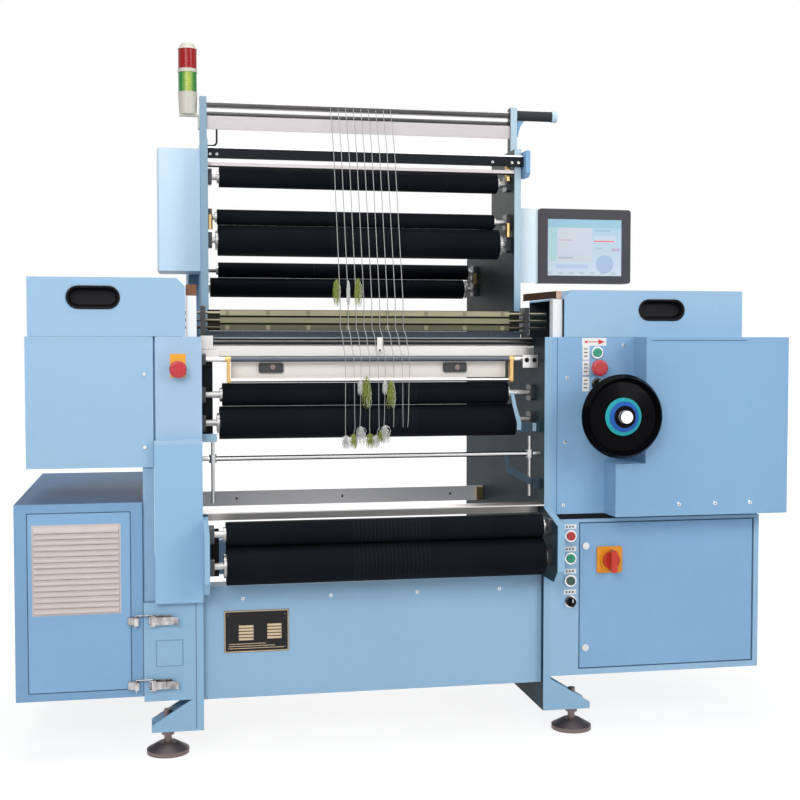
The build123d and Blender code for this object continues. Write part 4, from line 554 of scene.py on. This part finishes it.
bars = Finish("cross_bar_steel", Specular_IOR_Level=0.3)
x, y, z = bars.ruler()
lines = bars.noise(220.0, stretch=BRUSHED)
rust = bars.noise(14.0, stretch=(0.3, 1, 1))
rails = between(z, 960.0, 987.8) * (y > 100.0)
rear = y > 580.0
trough = between(z, 540.0, 580.0) * (y < 60.0)
posts = z > 987.9
draw_bar = between(z, 690.0, 715.0) * between(x, -388.0, 388.0)
rim = bars.facing()[2].math("ABSOLUTE") > 0.5
tone = bars.layers(
    bars.mix(lines, (0.40, 0.40, 0.41), (0.66, 0.66, 0.66)),
    # Painted light: the rear bar is near white and mostly not metallic, to make up for the little light that reaches
    # it.
    (rear, (0.93, 0.90, 0.91)),
    (trough, (0.74, 0.72, 0.71)),
    (trough * between(y, 2.0, 50.0) * rust, (0.16, 0.11, 0.085)),
    (rails, (0.006, 0.006, 0.007)),
    # Painted highlight: grey streaks along the tops of the black rails.
    (rails * (z > 984.5) * lines * 0.8, (0.50, 0.50, 0.50)),
    (rim * draw_bar, (0.010, 0.010, 0.012)),
    (posts, (0.78, 0.80, 0.82)),
    (posts * (z > 1084.0), (0.17, 0.068, 0.032)),
)
bars.feed("Metallic", (1 - (rails + posts).math("MINIMUM", 1.0)) * (1 - rear * 0.9))
cross_steel = bars.done(tone, 0.30 + lines * 0.14, lines, 0.06)

rocker = Finish("rocker_steel", Metallic=1.0)
x, _, z = rocker.ruler()
lines = rocker.noise(220.0, stretch=BRUSHED)
from_middle = x.math("ABSOLUTE")
link = from_middle > 346.5
# Painted shade: faces that look down, low on the rocker bar, are near black.
shaded_underside = (rocker.facing()[2] < -0.2) * (z < 890.0)
tone = rocker.layers(
    rocker.mix(lines, (0.62, 0.60, 0.60), (0.84, 0.82, 0.81)),
    ((z > 925.0) * (1 - link), (0.10, 0.12, 0.15)),
    (link * (from_middle < 361.0), (0.66, 0.43, 0.17)),
    (shaded_underside * (1 - link), (0.012, 0.012, 0.014)),
)
rocker_steel = rocker.done(tone, 0.24 + lines * 0.14, lines, 0.05)

latch = Finish("latch_steel", Metallic=1.0)
bands = latch.noise(70.0, stretch=(1, 1, 0.3))
# Painted shade: faces that do not look to the front or the back are near black.
shaded_edge = latch.facing()[1].math("ABSOLUTE") < 0.6
coats = ((bands.ramp(0.35, 0.65), (0.66, 0.64, 0.65)), (shaded_edge, (0.05, 0.048, 0.052)))
latch_steel = latch.done(latch.layers((0.20, 0.185, 0.19), *coats), 0.24 + bands * 0.16, bands, 0.05)

needle = Finish("needle_bar_plate", Specular_IOR_Level=0.3)
smear = needle.noise(6.0, stretch=(0.3, 1, 1))
cap = needle.ruler()[1] < 95.8
coats = ((smear, (0.82, 0.79, 0.75)), (cap, (0.045, 0.045, 0.048)))
streak = needle.noise(60.0, stretch=(0.05, 1, 1))
needle_plate = needle.done(needle.layers((0.66, 0.60, 0.55), *coats), 0.36 + smear * 0.14, streak, 0.05)
print("bars told apart:", yarn_bar_mix.name, cross_steel.name, rocker_steel.name, needle_plate.name)

# %% Give every node of the solid model its finish
finishes = {
    cover_blue: "rear_beam left_cabinet_panel right_main_cover",
    beam_blue: "front_beam right_cabinet",
    hood_blue: "left_hood right_hood",
    left_case_blue: "left_gear_case",
    right_case_blue: "right_gear_case",
    cabinet_blue: "left_cabinet",
    column_blue: "left_column_covers",
    tower_blue: "tower_cover",
    bracket_blue: "monitor_bracket",
    door_blue: "right_door",
    left_frame_blue: "left_side_frame",
    right_frame_blue: "right_side_frame",
    bright_steel: "bed_beam",
    rocker_steel: "rocker_bar",
    needle_plate: "needle_bar",
    cross_steel: "cross_bars",
    yarn_bar_mix: "upper_bars",
    latch_steel: "latch_plates upper_latch_lever lower_latch_lever",
    chrome: "control_bezels",
    dark_steel: "bearing_blocks guide_carrier drive_motor",
    upper_bronze: "upper_guide_bar",
    middle_bronze: "middle_guide_bar",
    lower_bronze: "lower_guide_bar",
    foot_iron: "levelling_feet",
    lens_colours: "lamp_lenses",
    lamp_grey: "lamp_housing",
    louvre_grey: "louvre_grille",
    lead_black: "lamp_cable",
    plate_orange: "switch_plate",
    knob_red: "switch_knob",
    case_grey: "monitor",
    stop_red: "left_stop_button right_stop_button strip_stop_button",
    start_green: "start_button strip_start_button",
    lamp_green: "strip_lamp_button",
    soft_black: "panel_selector strip_selector",
    wheel_black: "handwheel",
    needle_white: "needle_bed",
    gear_grey: "control_gear",
    yarn_finishes["grey"]: "yarns",
}
finishes.update({cloth: name for name, cloth in roller_cloth.items()})
for finish, names in finishes.items():
    for name in names.split():
        piece = nodes[name]
        if not piece.material_slots:
            piece.data.materials.append(finish)
        for slot in piece.material_slots:
            slot.material = finish
print("finished nodes:", sum(len(names.split()) for names in finishes.values()))

# %% [markdown]
# ## Small pieces
# Plates, rims and printed signs are simple forms that a few lines of mesh code place straight in the machine's
# frame. One helper extrudes any outline that faces the operator, and rounds its edges with a bevel.

# %% Helpers for small pieces
def piece_from(name, build, finish, bevel=0.0, body="machine"):
    """A mesh piece: each build(bm), one or a list, fills it. Then it gets its finish and rides on its body."""
    mesh = bpy.data.meshes.new(name)
    bm = bmesh.new()
    for fill in build if isinstance(build, list) else [build]:
        fill(bm)
    bmesh.ops.remove_doubles(bm, verts=bm.verts, dist=1e-6)
    bmesh.ops.recalc_face_normals(bm, faces=bm.faces)
    if bevel:
        edges = [e for e in bm.edges if len(e.link_faces) == 2 and e.calc_face_angle() > 0.6]
        bmesh.ops.bevel(bm, geom=edges, offset=bevel * MM, segments=2, affect="EDGES", profile=0.6)
    bm.to_mesh(mesh)
    bm.free()
    mesh.materials.append(finish)
    obj = new_object(name, mesh)
    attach(obj, body)
    return obj


def outline_plate(outline, y, thick):
    """Fills a plate whose outline, in (x, z), faces the operator: its front lies thick before depth y."""

    def build(bm):
        front = [bm.verts.new(spot(x, y - thick, z)) for x, z in outline]
        back = [bm.verts.new(spot(x, y, z)) for x, z in outline]
        bm.faces.new(front)
        bm.faces.new(back[::-1])
        for i in range(len(outline)):
            j = (i + 1) % len(outline)
            bm.faces.new((front[i], back[i], back[j], front[j]))

    return build


def rectangle(x0, x1, z0, z1):
    return [(x0, z0), (x1, z0), (x1, z1), (x0, z1)]


def slot_outline(x, z, length, height, steps=10):
    """Points of a long hole with round ends."""
    r = height / 2
    reach = length / 2 - r
    points = []
    for centre, start in ((reach, -90), (-reach, 90)):
        for i in range(steps + 1):
            a = math.radians(start + 180 * i / steps)
            points.append((x + centre + r * math.cos(a), z + r * math.sin(a)))
    return points


def sheet(x0, x1, z0, z1, y, thick):
    """A rectangular plate that faces the operator."""
    return outline_plate(rectangle(x0, x1, z0, z1), y, thick)


def frame_bars(x0, x1, z0, z1, width, y, thick):
    """Four bars inside the edges of a rectangle."""
    a, b, c, d = x0 + width, x1 - width, z0 + width, z1 - width
    sides = ((x0, x1, d, z1), (x0, x1, z0, c), (x0, a, c, d), (b, x1, c, d))
    return [sheet(*side, y, thick) for side in sides]


def block(x0, x1, y0, y1, z0, z1):
    """A plain block, given by its extents."""
    return sheet(x0, x1, z0, z1, y1, y1 - y0)


def tube_along(route, radius, end_radius=None, sides=12):
    """A round strand or rod along places of the machine, closed at both ends. It may taper to end_radius."""

    def build(bm):
        path = [spot(*place) for place in route]
        last = len(path) - 1
        rings = []
        for i, centre in enumerate(path):
            along = (path[min(i + 1, last)] - path[max(i - 1, 0)]).normalized()
            side = along.cross(Vector((0, 0, 1)))
            side = (side if side.length > 0.05 else Vector((1, 0, 0))).normalized()
            over = side.cross(along)
            r = (radius + ((end_radius or radius) - radius) * i / last) * MM
            turns = [2 * math.pi * k / sides for k in range(sides)]
            rings.append([bm.verts.new(centre + r * (math.cos(a) * side + math.sin(a) * over)) for a in turns])
        for a, b in zip(rings, rings[1:]):
            for k in range(sides):
                bm.faces.new((a[k], a[k - 1], b[k - 1], b[k]))
        bm.faces.new(rings[0])
        bm.faces.new(rings[-1][::-1])

    return build


print("helpers ready")

# %% [markdown]
# ## Hand grips in the hoods
# Each hood has a moulded black cup that the operator lifts it by. It is a lining: a raised rim, a rounded
# lip and a bowl that follows the recess. Rings of the same outline, each at its own size and depth, are
# bridged into one skin.

# %% Hand grips
def grip_cup(x, z, length, height, depth):
    rings = ((10, 0.0), (10, -2.4), (6, -3.6), (1, -3.0), (-2, 0.0), (-3, depth * 0.6), (-8, depth - 1.2),
             (-20, depth - 0.6))

    def build(bm):
        loops = []
        for grow, y in rings:
            outline = slot_outline(x, z, length + grow, height + grow)
            loops.append([bm.verts.new(spot(px, y, pz)) for px, pz in outline])
        for a, b in zip(loops, loops[1:]):
            for i in range(len(a)):
                j = (i + 1) % len(a)
                bm.faces.new((a[i], a[j], b[j], b[i]))
        bm.faces.new(loops[-1])

    return build


for name, body, x, z in (("left_grip_cup", "left_hood", -664, 1078), ("right_grip_cup", "right_hood", 722, 1056)):
    cup = piece_from(name, grip_cup(x, z, 112, 44, 21.5), soft_black, body=body)
    for face in cup.data.polygons:
        face.use_smooth = True
print("hand grips ready")

# %% [markdown]
# ## Plates and signs
# A black data plate with a gold border and blank fields is riveted to the front beam. Small white plates name
# the controls with printed bars, an arrow shows which way the wheel turns, and a yellow plate lies behind the
# stop button on the left. A pressed square marks the left leg, and a narrow panel closes its column's side.

# %% Plates
PLATE_FACE, LABEL_FACE = 18.8, -0.7
FIELD_PITCH, LINE_PITCH = 7.6, 5.4
piece_from("data_plate", sheet(-369, -214, 234, 335, 20, 1.2), gloss_black, 0.3)
border = frame_bars(-368, -215, 235, 334, 2, PLATE_FACE, 0.4)
for row in range(5):
    for x0, x1, z0 in ((-334, -299, 263), (-266, -232, 265)):
        z = z0 + row * FIELD_PITCH
        border.append(sheet(x0, x1, z, z + 5.4, PLATE_FACE, 0.3))
for row in range(3):
    z = 243 + row * LINE_PITCH
    border.append(sheet(-358, -226 - 22 * row, z, z + 1.4, PLATE_FACE, 0.3))
plate_gold = plastic("plate_gold", (0.70, 0.52, 0.34), 0.35, gleam=0.5)
piece_from("data_plate_lines", border, plate_gold)
faint_blue = plastic("faint_blue", (0.185, 0.33, 0.47), 0.45, gleam=0.1)
leg_square = frame_bars(-529, -465, 213, 276.5, 2.5, 0, 0.4)
piece_from("leg_panel_outline", leg_square, faint_blue)
piece_from("leg_side_panel", block(-555.4, -529.6, 8, 14, 367, 683), beam_blue, 0.4)
piece_from("arrow_plate", sheet(514, 577, 967, 986, 0, 0.6), label_white, 0.2)
arrow = [(519, 974), (524, 974), (527, 973), (527, 975.5), (556, 975.5), (556, 970), (573, 976.5), (556, 983),
         (556, 977.5), (527, 977.5), (527, 980), (524, 979), (519, 979), (522, 976.5)]
piece_from("turn_arrow", outline_plate(arrow, -0.6, 0.3), print_red)
labels, print_bars = [], []
for z in (950, 912, 872):
    labels.append(sheet(515, 533, z - 18, z + 18, 0, 0.7))
    for row in (-9, 0, 9):
        print_bars.append(sheet(519, 528, z + row - 1.6, z + row + 1.6, LABEL_FACE, 0.25))
for z in (494, 438, 382, 330):
    labels.append(sheet(470, 502, z + 17, z + 29, 0, 0.7))
    for x in (477, 485, 493):
        print_bars.append(sheet(x - 2.6, x + 2.6, z + 20.5, z + 25.5, LABEL_FACE, 0.25))
piece_from("control_labels", labels, label_white, 0.2)
piece_from("control_label_print", print_bars, print_grey)
stop_back = sheet(-491, -455, 893, 948, 0, 0.8)
piece_from("stop_backplate", stop_back, plate_yellow, 0.2)
for body, x, z in (("panel_selector", 552, 872), ("strip_selector", 486, 330)):
    mark = sheet(x - 1.1, x + 1.1, z + 1, z + 9.5, -24.3, 0.3)
    piece_from(body + "_mark", mark, label_white, body=body)
print("plates ready")

# %% [markdown]
# ## Seams
# Where one sheet ends beside another, a narrow dark gap shows. Each seam here is a thin dark line laid on the
# fixed sheet: round the door and the left cabinet's panel, and along single edges of the right frame, the main
# cover, the left leg and the left cabinet. The line on the main cover is the painted shadow of the hood's lower
# edge, and the line beside the left cabinet is a joint low down and the painted shadow of the cabinet's edge
# higher up. A black strip of painted shade fills the gap under the right gear case.

# %% Seams
SEAM_THICK = 0.3


def seam_round(name, clear, width):
    """A frame of four lines just outside a node's outline, as seen by the operator."""
    low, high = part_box(name)
    x0, x1 = ((v - bed_x) / MM for v in (low[0], high[0]))
    z0, z1 = low[2] / MM, high[2] / MM
    reach = clear + width
    return frame_bars(x0 - reach, x1 + reach, z0 - reach, z1 + reach, width, 0, SEAM_THICK)


# The main cover's line is the painted shadow of the hood's lower edge; the left cabinet's line is a joint below 366 mm
# and the painted shadow of the cabinet's edge above.
seam_and_shadow_lines = (
    (449.4, 450.8, 542, 986, 0), (665, 914, 979, 980.6, -80), (-436.0, -434.6, 62, 365, 0),
    (-557.8, -556.2, 146, 601, 0),
)
seam_and_shadow_strips = seam_round("right_door", 1.2, 1.8) + seam_round("left_cabinet_panel", 0.6, 1.6)
seam_and_shadow_strips += [sheet(*line, SEAM_THICK) for line in seam_and_shadow_lines]
piece_from("sheet_seams", seam_and_shadow_strips, seam_and_shadow_blue)
# Painted shade: a black strip fills the gap under the right gear case, where the cabinet's top would show.
piece_from("case_gap_shade", block(452, 990, 6, 10, 535.5, 548.5), soft_black)
print("seams:", len(seam_and_shadow_strips))

# %% [markdown]
# ## Operator panel screen
# The screen shows a working page: a pale field with a pattern grid, a red trace, a round gauge and a row of
# keys. The page is drawn with shader arithmetic on the screen's own coordinates, so it needs no picture.

# %% Screen
screen_x, screen_z, screen_w, screen_h = 526, 1158, 212, 156
page = Finish("screen_page", Coat_Weight=0.2, Coat_Roughness=0.12, Specular_IOR_Level=0.2, Emission_Strength=0.22)
x, _, z = page.axes()
u = (x - (bed_x + screen_x * MM)) / (screen_w * MM)
v = (z - screen_z * MM) / (screen_h * MM)
field = (0.13, 0.60, 0.24, 0.84)
areas = (
    (0.0, 1.0, 0.84, 1.0, 1.0, (0.22, 0.39, 0.49)), (0.02, 0.12, 0.26, 0.84, 0.7, (0.29, 0.47, 0.43)),
    (*field, 1.0, (0.47, 0.50, 0.54)),
)
marks = (
    (0.62, 0.92, 0.58, 0.70, 0.6, (0.50, 0.51, 0.55)), (0.62, 0.90, 0.600, 0.622, 1.0, (0.56, 0.09, 0.11)),
    (0.86, 0.98, 0.44, 0.49, 0.7, (0.40, 0.20, 0.38)), (0.64, 0.84, 0.78, 0.81, 0.6, (0.16, 0.30, 0.42)),
    (0.64, 0.74, 0.47, 0.50, 0.6, (0.26, 0.33, 0.44)), (0.11, 0.54, 0.13, 0.20, 0.7, (0.30, 0.38, 0.55)),
    (0.14, 0.34, 0.30, 0.33, 0.7, (0.28, 0.26, 0.38)), (0.14, 0.32, 0.615, 0.635, 0.6, (0.44, 0.25, 0.34)),
)


def patch(u0, u1, v0, v1):
    return between(u, u0, u1) * between(v, v0, v1)


def patches(rows):
    """Masks with their colours, from rows of extents, strength and colour."""
    return [(patch(*extents) * strength, colour) for *extents, strength, colour in rows]


grid = ((u * 46.0).math("FRACT") < 0.25).math("MAXIMUM", (v * 34.0).math("FRACT") < 0.25)
keys = ((u * 7.0).math("FRACT") < 0.45) * between(v, 0.03, 0.07)
du, dv = (u - 0.77) * screen_w, (v - 0.21) * screen_h
gauge = (du * du + dv * dv).math("SQRT") < 25.0
tone = page.layers(
    (0.46, 0.52, 0.58), (v, (0.26, 0.42, 0.53)), *patches(areas), (grid * patch(*field) * 0.55, (0.36, 0.37, 0.44)),
    *patches(marks), (keys * 0.5, (0.25, 0.33, 0.42)), (gauge * 0.8, (0.25, 0.34, 0.50)),
)
page.feed("Base Color", tone)
page.feed("Emission Color", tone)
page.feed("Roughness", 0.22 + page.noise(40.0) * 0.06)
glass = sheet(526.5, 737.5, 1158.5, 1313.5, 323.9, 1.4)
piece_from("screen_glass", glass, page.material, 0.3)
print("screen ready")

# %% [markdown]
# ## Screws
# Pan-head screws hold the covers. One Geometry Nodes tree makes a head with a crossed recess and sets it on
# every point of a list; the heads are then turned into a plain mesh for each body.

# %% Screw heads
def tree_with(name, **sizes):
    """A Geometry Nodes tree with sizes as inputs, the node that gives them, and a short way to add nodes."""
    tree = bpy.data.node_groups.new(name, "GeometryNodeTree")
    tree.interface.new_socket("Geometry", in_out="INPUT", socket_type="NodeSocketGeometry")
    for label, size in sizes.items():
        tree.interface.new_socket(label, in_out="INPUT", socket_type="NodeSocketFloat").default_value = size * MM
    tree.interface.new_socket("Geometry", in_out="OUTPUT", socket_type="NodeSocketGeometry")

    def add(kind, **inputs):
        named = {key.replace("_", " "): value for key, value in inputs.items()}
        return add_node(tree, kind, inputs=named).outputs[0]

    return tree, tree.nodes.new("NodeGroupInput").outputs, add


def head_tree(head_finish, recess_finish):
    tree, given, add = tree_with("screw_heads", Radius=4.2, Height=2.2)
    radius = given["Radius"]
    top = add_node(tree, "ShaderNodeMath", {"operation": "MULTIPLY"}, {0: radius, 1: 0.72}).outputs[0]
    head = add("GeometryNodeMeshCone", Vertices=20, Radius_Top=top, Radius_Bottom=radius, Depth=given["Height"])
    head = add("GeometryNodeSetMaterial", Geometry=head, Material=head_finish)
    cross = tree.nodes.new("GeometryNodeJoinGeometry")
    for size in ((5.0 * MM, 1.0 * MM, 0.3 * MM), (1.0 * MM, 5.0 * MM, 0.3 * MM)):
        tree.links.new(add("GeometryNodeMeshCube", Size=size), cross.inputs[0])
    recess = add("GeometryNodeTransform", Geometry=cross.outputs[0], Translation=(0, 0, 2.2 * MM))
    recess = add("GeometryNodeSetMaterial", Geometry=recess, Material=recess_finish)
    whole = tree.nodes.new("GeometryNodeJoinGeometry")
    for part in (head, recess):
        tree.links.new(part, whole.inputs[0])
    turned = add("GeometryNodeTransform", Geometry=whole.outputs[0], Rotation=(math.radians(90), 0, 0))
    placed = add("GeometryNodeInstanceOnPoints", Points=given["Geometry"], Instance=turned)
    real = add("GeometryNodeRealizeInstances", Geometry=placed)
    add_node(tree, "NodeGroupOutput", inputs={0: real})
    return tree


def bake(name, points, tree, slot_name, body="machine", **sizes):
    """Runs a tree on points, with sizes in millimetres, and keeps the result as a plain mesh on a body."""
    seeds = bpy.data.meshes.new(name + "_points")
    seeds.from_pydata([spot(*p) for p in points], [], [])
    carrier = new_object(name, seeds)
    modifier = carrier.modifiers.new("made", "NODES")
    modifier.node_group = tree
    for item in tree.interface.items_tree:
        if item.in_out == "INPUT" and item.name in sizes:
            modifier[item.identifier] = sizes[item.name] * MM
    graph = bpy.context.evaluated_depsgraph_get()
    mesh = bpy.data.meshes.new_from_object(carrier.evaluated_get(graph))
    carrier.modifiers.remove(modifier)
    carrier.data = mesh
    bpy.data.meshes.remove(seeds)
    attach(carrier, body)
    print(name, len(points), "places,", len(mesh.polygons), "faces")


screw_tree = head_tree(chrome, soft_black)
beam_screws = [(x, 20, 364) for x in (-324, -112, 101, 309)]
panel_screws = [(623, 0, 968), (475, 0, 887), (471, 0, 728), (467, 0, 571)]
cover_screws = [(739, -80, 577), (834, -80, 577), (927, -80, 577)]
plate_rivets = [(x, PLATE_FACE, z) for x in (-359, -224) for z in (244.5, 324.5)]
cover_points = beam_screws + panel_screws + cover_screws
studs = [(-550, 0, 901), (-550, 0, 731)]
bake("machine_screws", cover_points, screw_tree, "chrome", Radius=5.6)
bake("gear_cover_studs", studs, screw_tree, "chrome", Radius=6, Height=5)
bake("plate_rivets", plate_rivets, screw_tree, "chrome", Radius=2.2, Height=1.0)

# %% [markdown]
# ## Guide needles and comb
# Below the guide bars hang the guide needles, one for each yarn that the bar could carry, and a comb of thin
# blades stands on the needle bed. Each guide bar also has a row of clips. A list gives the places, and each
# place gets one small bar.

# %% Rows of fine rods
def row_tree(finish):
    tree, given, add = tree_with("fine_rods", Width=1.2, Depth=1.2, Height=12)
    size = add("ShaderNodeCombineXYZ", X=given["Width"], Y=given["Depth"], Z=given["Height"])
    bar = add("GeometryNodeMeshCube", Size=size)
    placed = add("GeometryNodeInstanceOnPoints", Points=given["Geometry"], Instance=bar)
    real = add("GeometryNodeRealizeInstances", Geometry=placed)
    coat = add("GeometryNodeSetMaterial", Geometry=real, Material=finish)
    add_node(tree, "NodeGroupOutput", inputs={0: coat})
    return tree


steel_rods = row_tree(bright_steel)
bronze_rods = row_tree(middle_bronze)
iron_rods = row_tree(dark_steel)
guides = [(-360 + 6 * i, 150, 1000) for i in range(121)]
bake("guide_needles", guides, iron_rods, "steel", "lower_guide_bar", Width=1.0, Depth=1.6, Height=12)
for body, z in (("lower_guide_bar", 1012), ("middle_guide_bar", 1030), ("upper_guide_bar", 1048)):
    clips = [(-350 + 100 * i, 145.7, z) for i in range(8)]
    bake(body + "_clips", clips, bronze_rods, "steel", body, Width=10, Depth=0.9, Height=11)
KEY_X = 20
comb = [(x, 109, 967.2) for x in range(-400, 401, 5) if abs(x - KEY_X) > 8]
bake("bed_comb", comb, steel_rods, "steel", Width=0.8, Depth=26, Height=3.4)

# %% [markdown]
# ## Round the knitting zone
# Behind the guide bars stands a dark backing on their carrier, and a strip closes the gap above the bed
# beam. Bright brackets hold the bed's two ends, a key plate marks its middle, and brass nuts set the pressure of
# the rollers. Blue levers tighten the draw bar, dark bearers carry the rollers' left ends, the upper one partly
# painted shade, and a brown arm with a copper end lies on the right post.

# %% Strips, brackets and nuts
deck_grey = plastic("deck_grey", (0.12, 0.17, 0.22), 0.40, gleam=0.2)
backing_dark = plastic("backing_dark", (0.020, 0.019, 0.014), 0.45, gleam=0.15)
arm_brown = plastic("arm_brown", (0.034, 0.015, 0.008), 0.40, gleam=0.1)
arm_copper = plastic("arm_copper", (0.55, 0.36, 0.27), 0.35, gleam=0.4)
shaft_dark = plastic("shaft_dark", (0.014, 0.018, 0.022), 0.45, gleam=0.1)
lever_blue = plastic("lever_blue", (0.30, 0.46, 0.60), 0.40, gleam=0.2)
lever_dark = plastic("lever_dark", (0.035, 0.065, 0.095), 0.40, gleam=0.2)
piece_from("bed_deck_strip", block(-415, 415, 202, 206, 984.6, 1004), deck_grey, 0.5)
piece_from("guide_backing", block(-398, 398, 156.4, 158.4, 1004, 1056), backing_dark, 0.4, "guide_carrier")
bracket_sides = ((-417.5, -388, 958, 991), (-417.5, -374, 938, 957.6), (390, 417.5, 937, 962))
brackets = [sheet(*side, 90.5, 5) for side in bracket_sides]
piece_from("bed_end_brackets", brackets, bright_steel, 0.6)
piece_from("bed_clip", block(13.5, 26.5, 84.5, 89.5, 950, 988), needle_white, 0.6)
clip_screw = tube_along([(KEY_X, 84.6, 955.5), (KEY_X, 83.6, 955.5)], 2.6, sides=16)
piece_from("bed_clip_screw", clip_screw, soft_black)
piece_from("shaft_keeper", block(378, 417.5, 54.5, 57.5, 912, 944), bright_steel, 0.6)
holes = [tube_along([(x, 54.7, 931), (x, 54.2, 931)], 6.0, sides=20) for x in (388, 408)]
piece_from("shaft_keeper_holes", holes, soft_black)
nut_places = (
    (407, 303, 1408, 1452, 8.0), (408, 303, 1258, 1296, 7.0), (409, 664, 1150, 1181, 8.0), (-385, 303, 1266, 1304, 7.0),
)
nuts = [tube_along([(x, y, low), (x, y, high)], radius, sides=6) for x, y, low, high, radius in nut_places]
nuts.append(block(398, 417.5, 592, 600.3, 514, 552))
piece_from("pressure_nuts", nuts, brass, 0.4)
arm_outline = [(371, 1076.5), (451.5, 1084.6), (451.5, 1102.4), (371, 1094.3)]
piece_from("post_arm", outline_plate(arm_outline, 33, 16), arm_brown, 1.0)
piece_from("post_arm_knob", block(452, 466, 17, 33, 1082.4, 1103), arm_copper, 2.0)
# Painted shade: the upper plate by the rollers' left ends stands partly for a bearer and partly for the shade among the
# parts there.
bearers_and_shade = [block(-417.4, -388, 121, 125, 742, 930), block(-405.5, -381, -14, -10, 425, 538)]
piece_from("left_roller_bearers", bearers_and_shade, shaft_dark, 0.6)
strap = [(341, 850), (350, 850), (356, 820), (369, 778), (369, 757), (358, 757), (358, 776), (347, 818)]
straps = [outline_plate(strap, 41, 5), block(398, 407, 33, 36.5, 754, 774)]
piece_from("draw_lever_strap", straps, lever_blue, 0.8)
hook = [(326, 694), (335, 694), (338, 668), (399, 634), (399, 616), (330, 652)]
links = [outline_plate(hook, 36, 3), block(396, 418, 33, 45, 609, 635), block(357, 418, 36.3, 44, 751, 776)]
piece_from("draw_lever_links", links, lever_dark, 0.6)
piece_from("left_lever_arm", block(-418, -382, 36, 44, 738, 757), lever_blue, 1.0)
bar_screws = [(x, 263, 1452) for x in (354, 407, 425, -368, -385)]
rear_screws = [(x, 600, 534) for x in (-303, 0, 319)]
bake("bar_screws", bar_screws + rear_screws, screw_tree, "chrome", Radius=4.6)
pin_places = ((-244, 915), (218, 913))
pins = [tube_along([(x, 89.4, z), (x, 87.8, z)], 7.5, 6.5, sides=20) for x, z in pin_places]
piece_from("needle_bar_pins", pins, foot_iron, body="needle_bar")
print("knitting zone ready")

# %% [markdown]
# ## Yarn
# The ends of yarn go on from the needle bed, in front of the rocking shaft, to the take-down roller. Some are
# fringe yarns, with tufts of loose fibre, and the lowest tufts hang on short tails. A tuft is a bunch of thin
# tapering hairs that leave one yarn, each at its own slant, worked out from sines so that it is always the same.

# %% Yarn ends and tufts
take_down = ((88.4, 966), (62.5, 941), (57, 900), (56, 870), (58.4, 800), (59.1, 781), (61.5, 766))
FIRST_YARN, YARN_PITCH, YARN_RADIUS = -70, 20, 0.8
GOLDEN_ANGLE = 2.399
routes = []
for k in range(9):
    lean = 5 * math.sin(2.1 * k)
    x = FIRST_YARN + YARN_PITCH * k
    routes.append([(x + lean * i / 6, y, z) for i, (y, z) in enumerate(take_down)])
tails = ((-70, -70, 738), (-45.7, -51, 740), (-34.4, -32, 750), (-9.9, -10, 740), (14.3, 5, 738), (14.3, 17, 748),
         (25.6, 28, 750))
for end_x, tuft_x, low in tails:
    routes.append([(end_x, 61.5, 766.5), ((end_x + tuft_x) / 2, 57, 759), (tuft_x, 54, low)])
ends = [tube_along(route, YARN_RADIUS, sides=8) for route in routes]
piece_from("take_down_yarns", ends, yarn_finishes["grey"])


def tuft(x, y, top, bottom, spread, phase, hairs):
    """Hairs that hang from one yarn between two heights, all in front of depth y."""
    builds = []
    for k in range(hairs):
        a = GOLDEN_ANGLE * k + phase
        start = top - (top - bottom) * 0.55 * (k / hairs)
        length = (top - bottom) * (0.45 + 0.10 * math.sin(5 * a))
        out = spread * (0.35 + 0.65 * abs(math.sin(3.7 * a)))
        side, fore = math.cos(a), -abs(math.sin(a))
        route = [(x, y, start), (x + 0.7 * out * side, y + 0.5 * out * fore, start - 0.15 * length),
                 (x + out * side, y + 0.7 * out * fore, start - 0.55 * length),
                 (x + 0.6 * out * side, y + 0.4 * out * fore, max(start - length, bottom))]
        builds.append(tube_along(route, 0.9, 0.35, sides=5))
    return builds


green, pale = [], []
green_places = (
    (-80, 141, 1132, 1064, 10, 0.3), (-26, 141, 1136, 1064, 10, 1.1), (-19, 53, 892, 812, 13, 0.7),
    (42, 53, 884, 812, 12, 2.0), (-51, 54, 752, 714, 10, 0.1), (-10, 54, 752, 714, 11, 1.4),
    (17, 54, 758, 728, 10, 2.2),
)
pale_places = (
    (-50, 141, 1130, 1064, 5, 0.9), (-34, 53, 882, 846, 7, 0.2), (27, 53, 882, 846, 7, 1.7),
    (-32, 54, 770, 722, 14, 2.6), (28, 54, 772, 722, 14, 0.4), (-70, 54, 748, 712, 11, 0.5),
    (5, 54, 748, 714, 11, 1.2),
)
for x, y, top, bottom, spread, phase in green_places:
    green += tuft(x, y, top, bottom, spread, phase, 46)
    pale += tuft(x + 6, y, top - 8, bottom, spread * 0.6, phase + 0.5, 12)
for place in pale_places:
    pale += tuft(*place, 44)
piece_from("green_tufts", green, yarn_finishes["green"])
piece_from("pale_tufts", pale, yarn_finishes["white"])
print("yarn ends and tufts ready:", len(green), "green and", len(pale), "pale hairs")
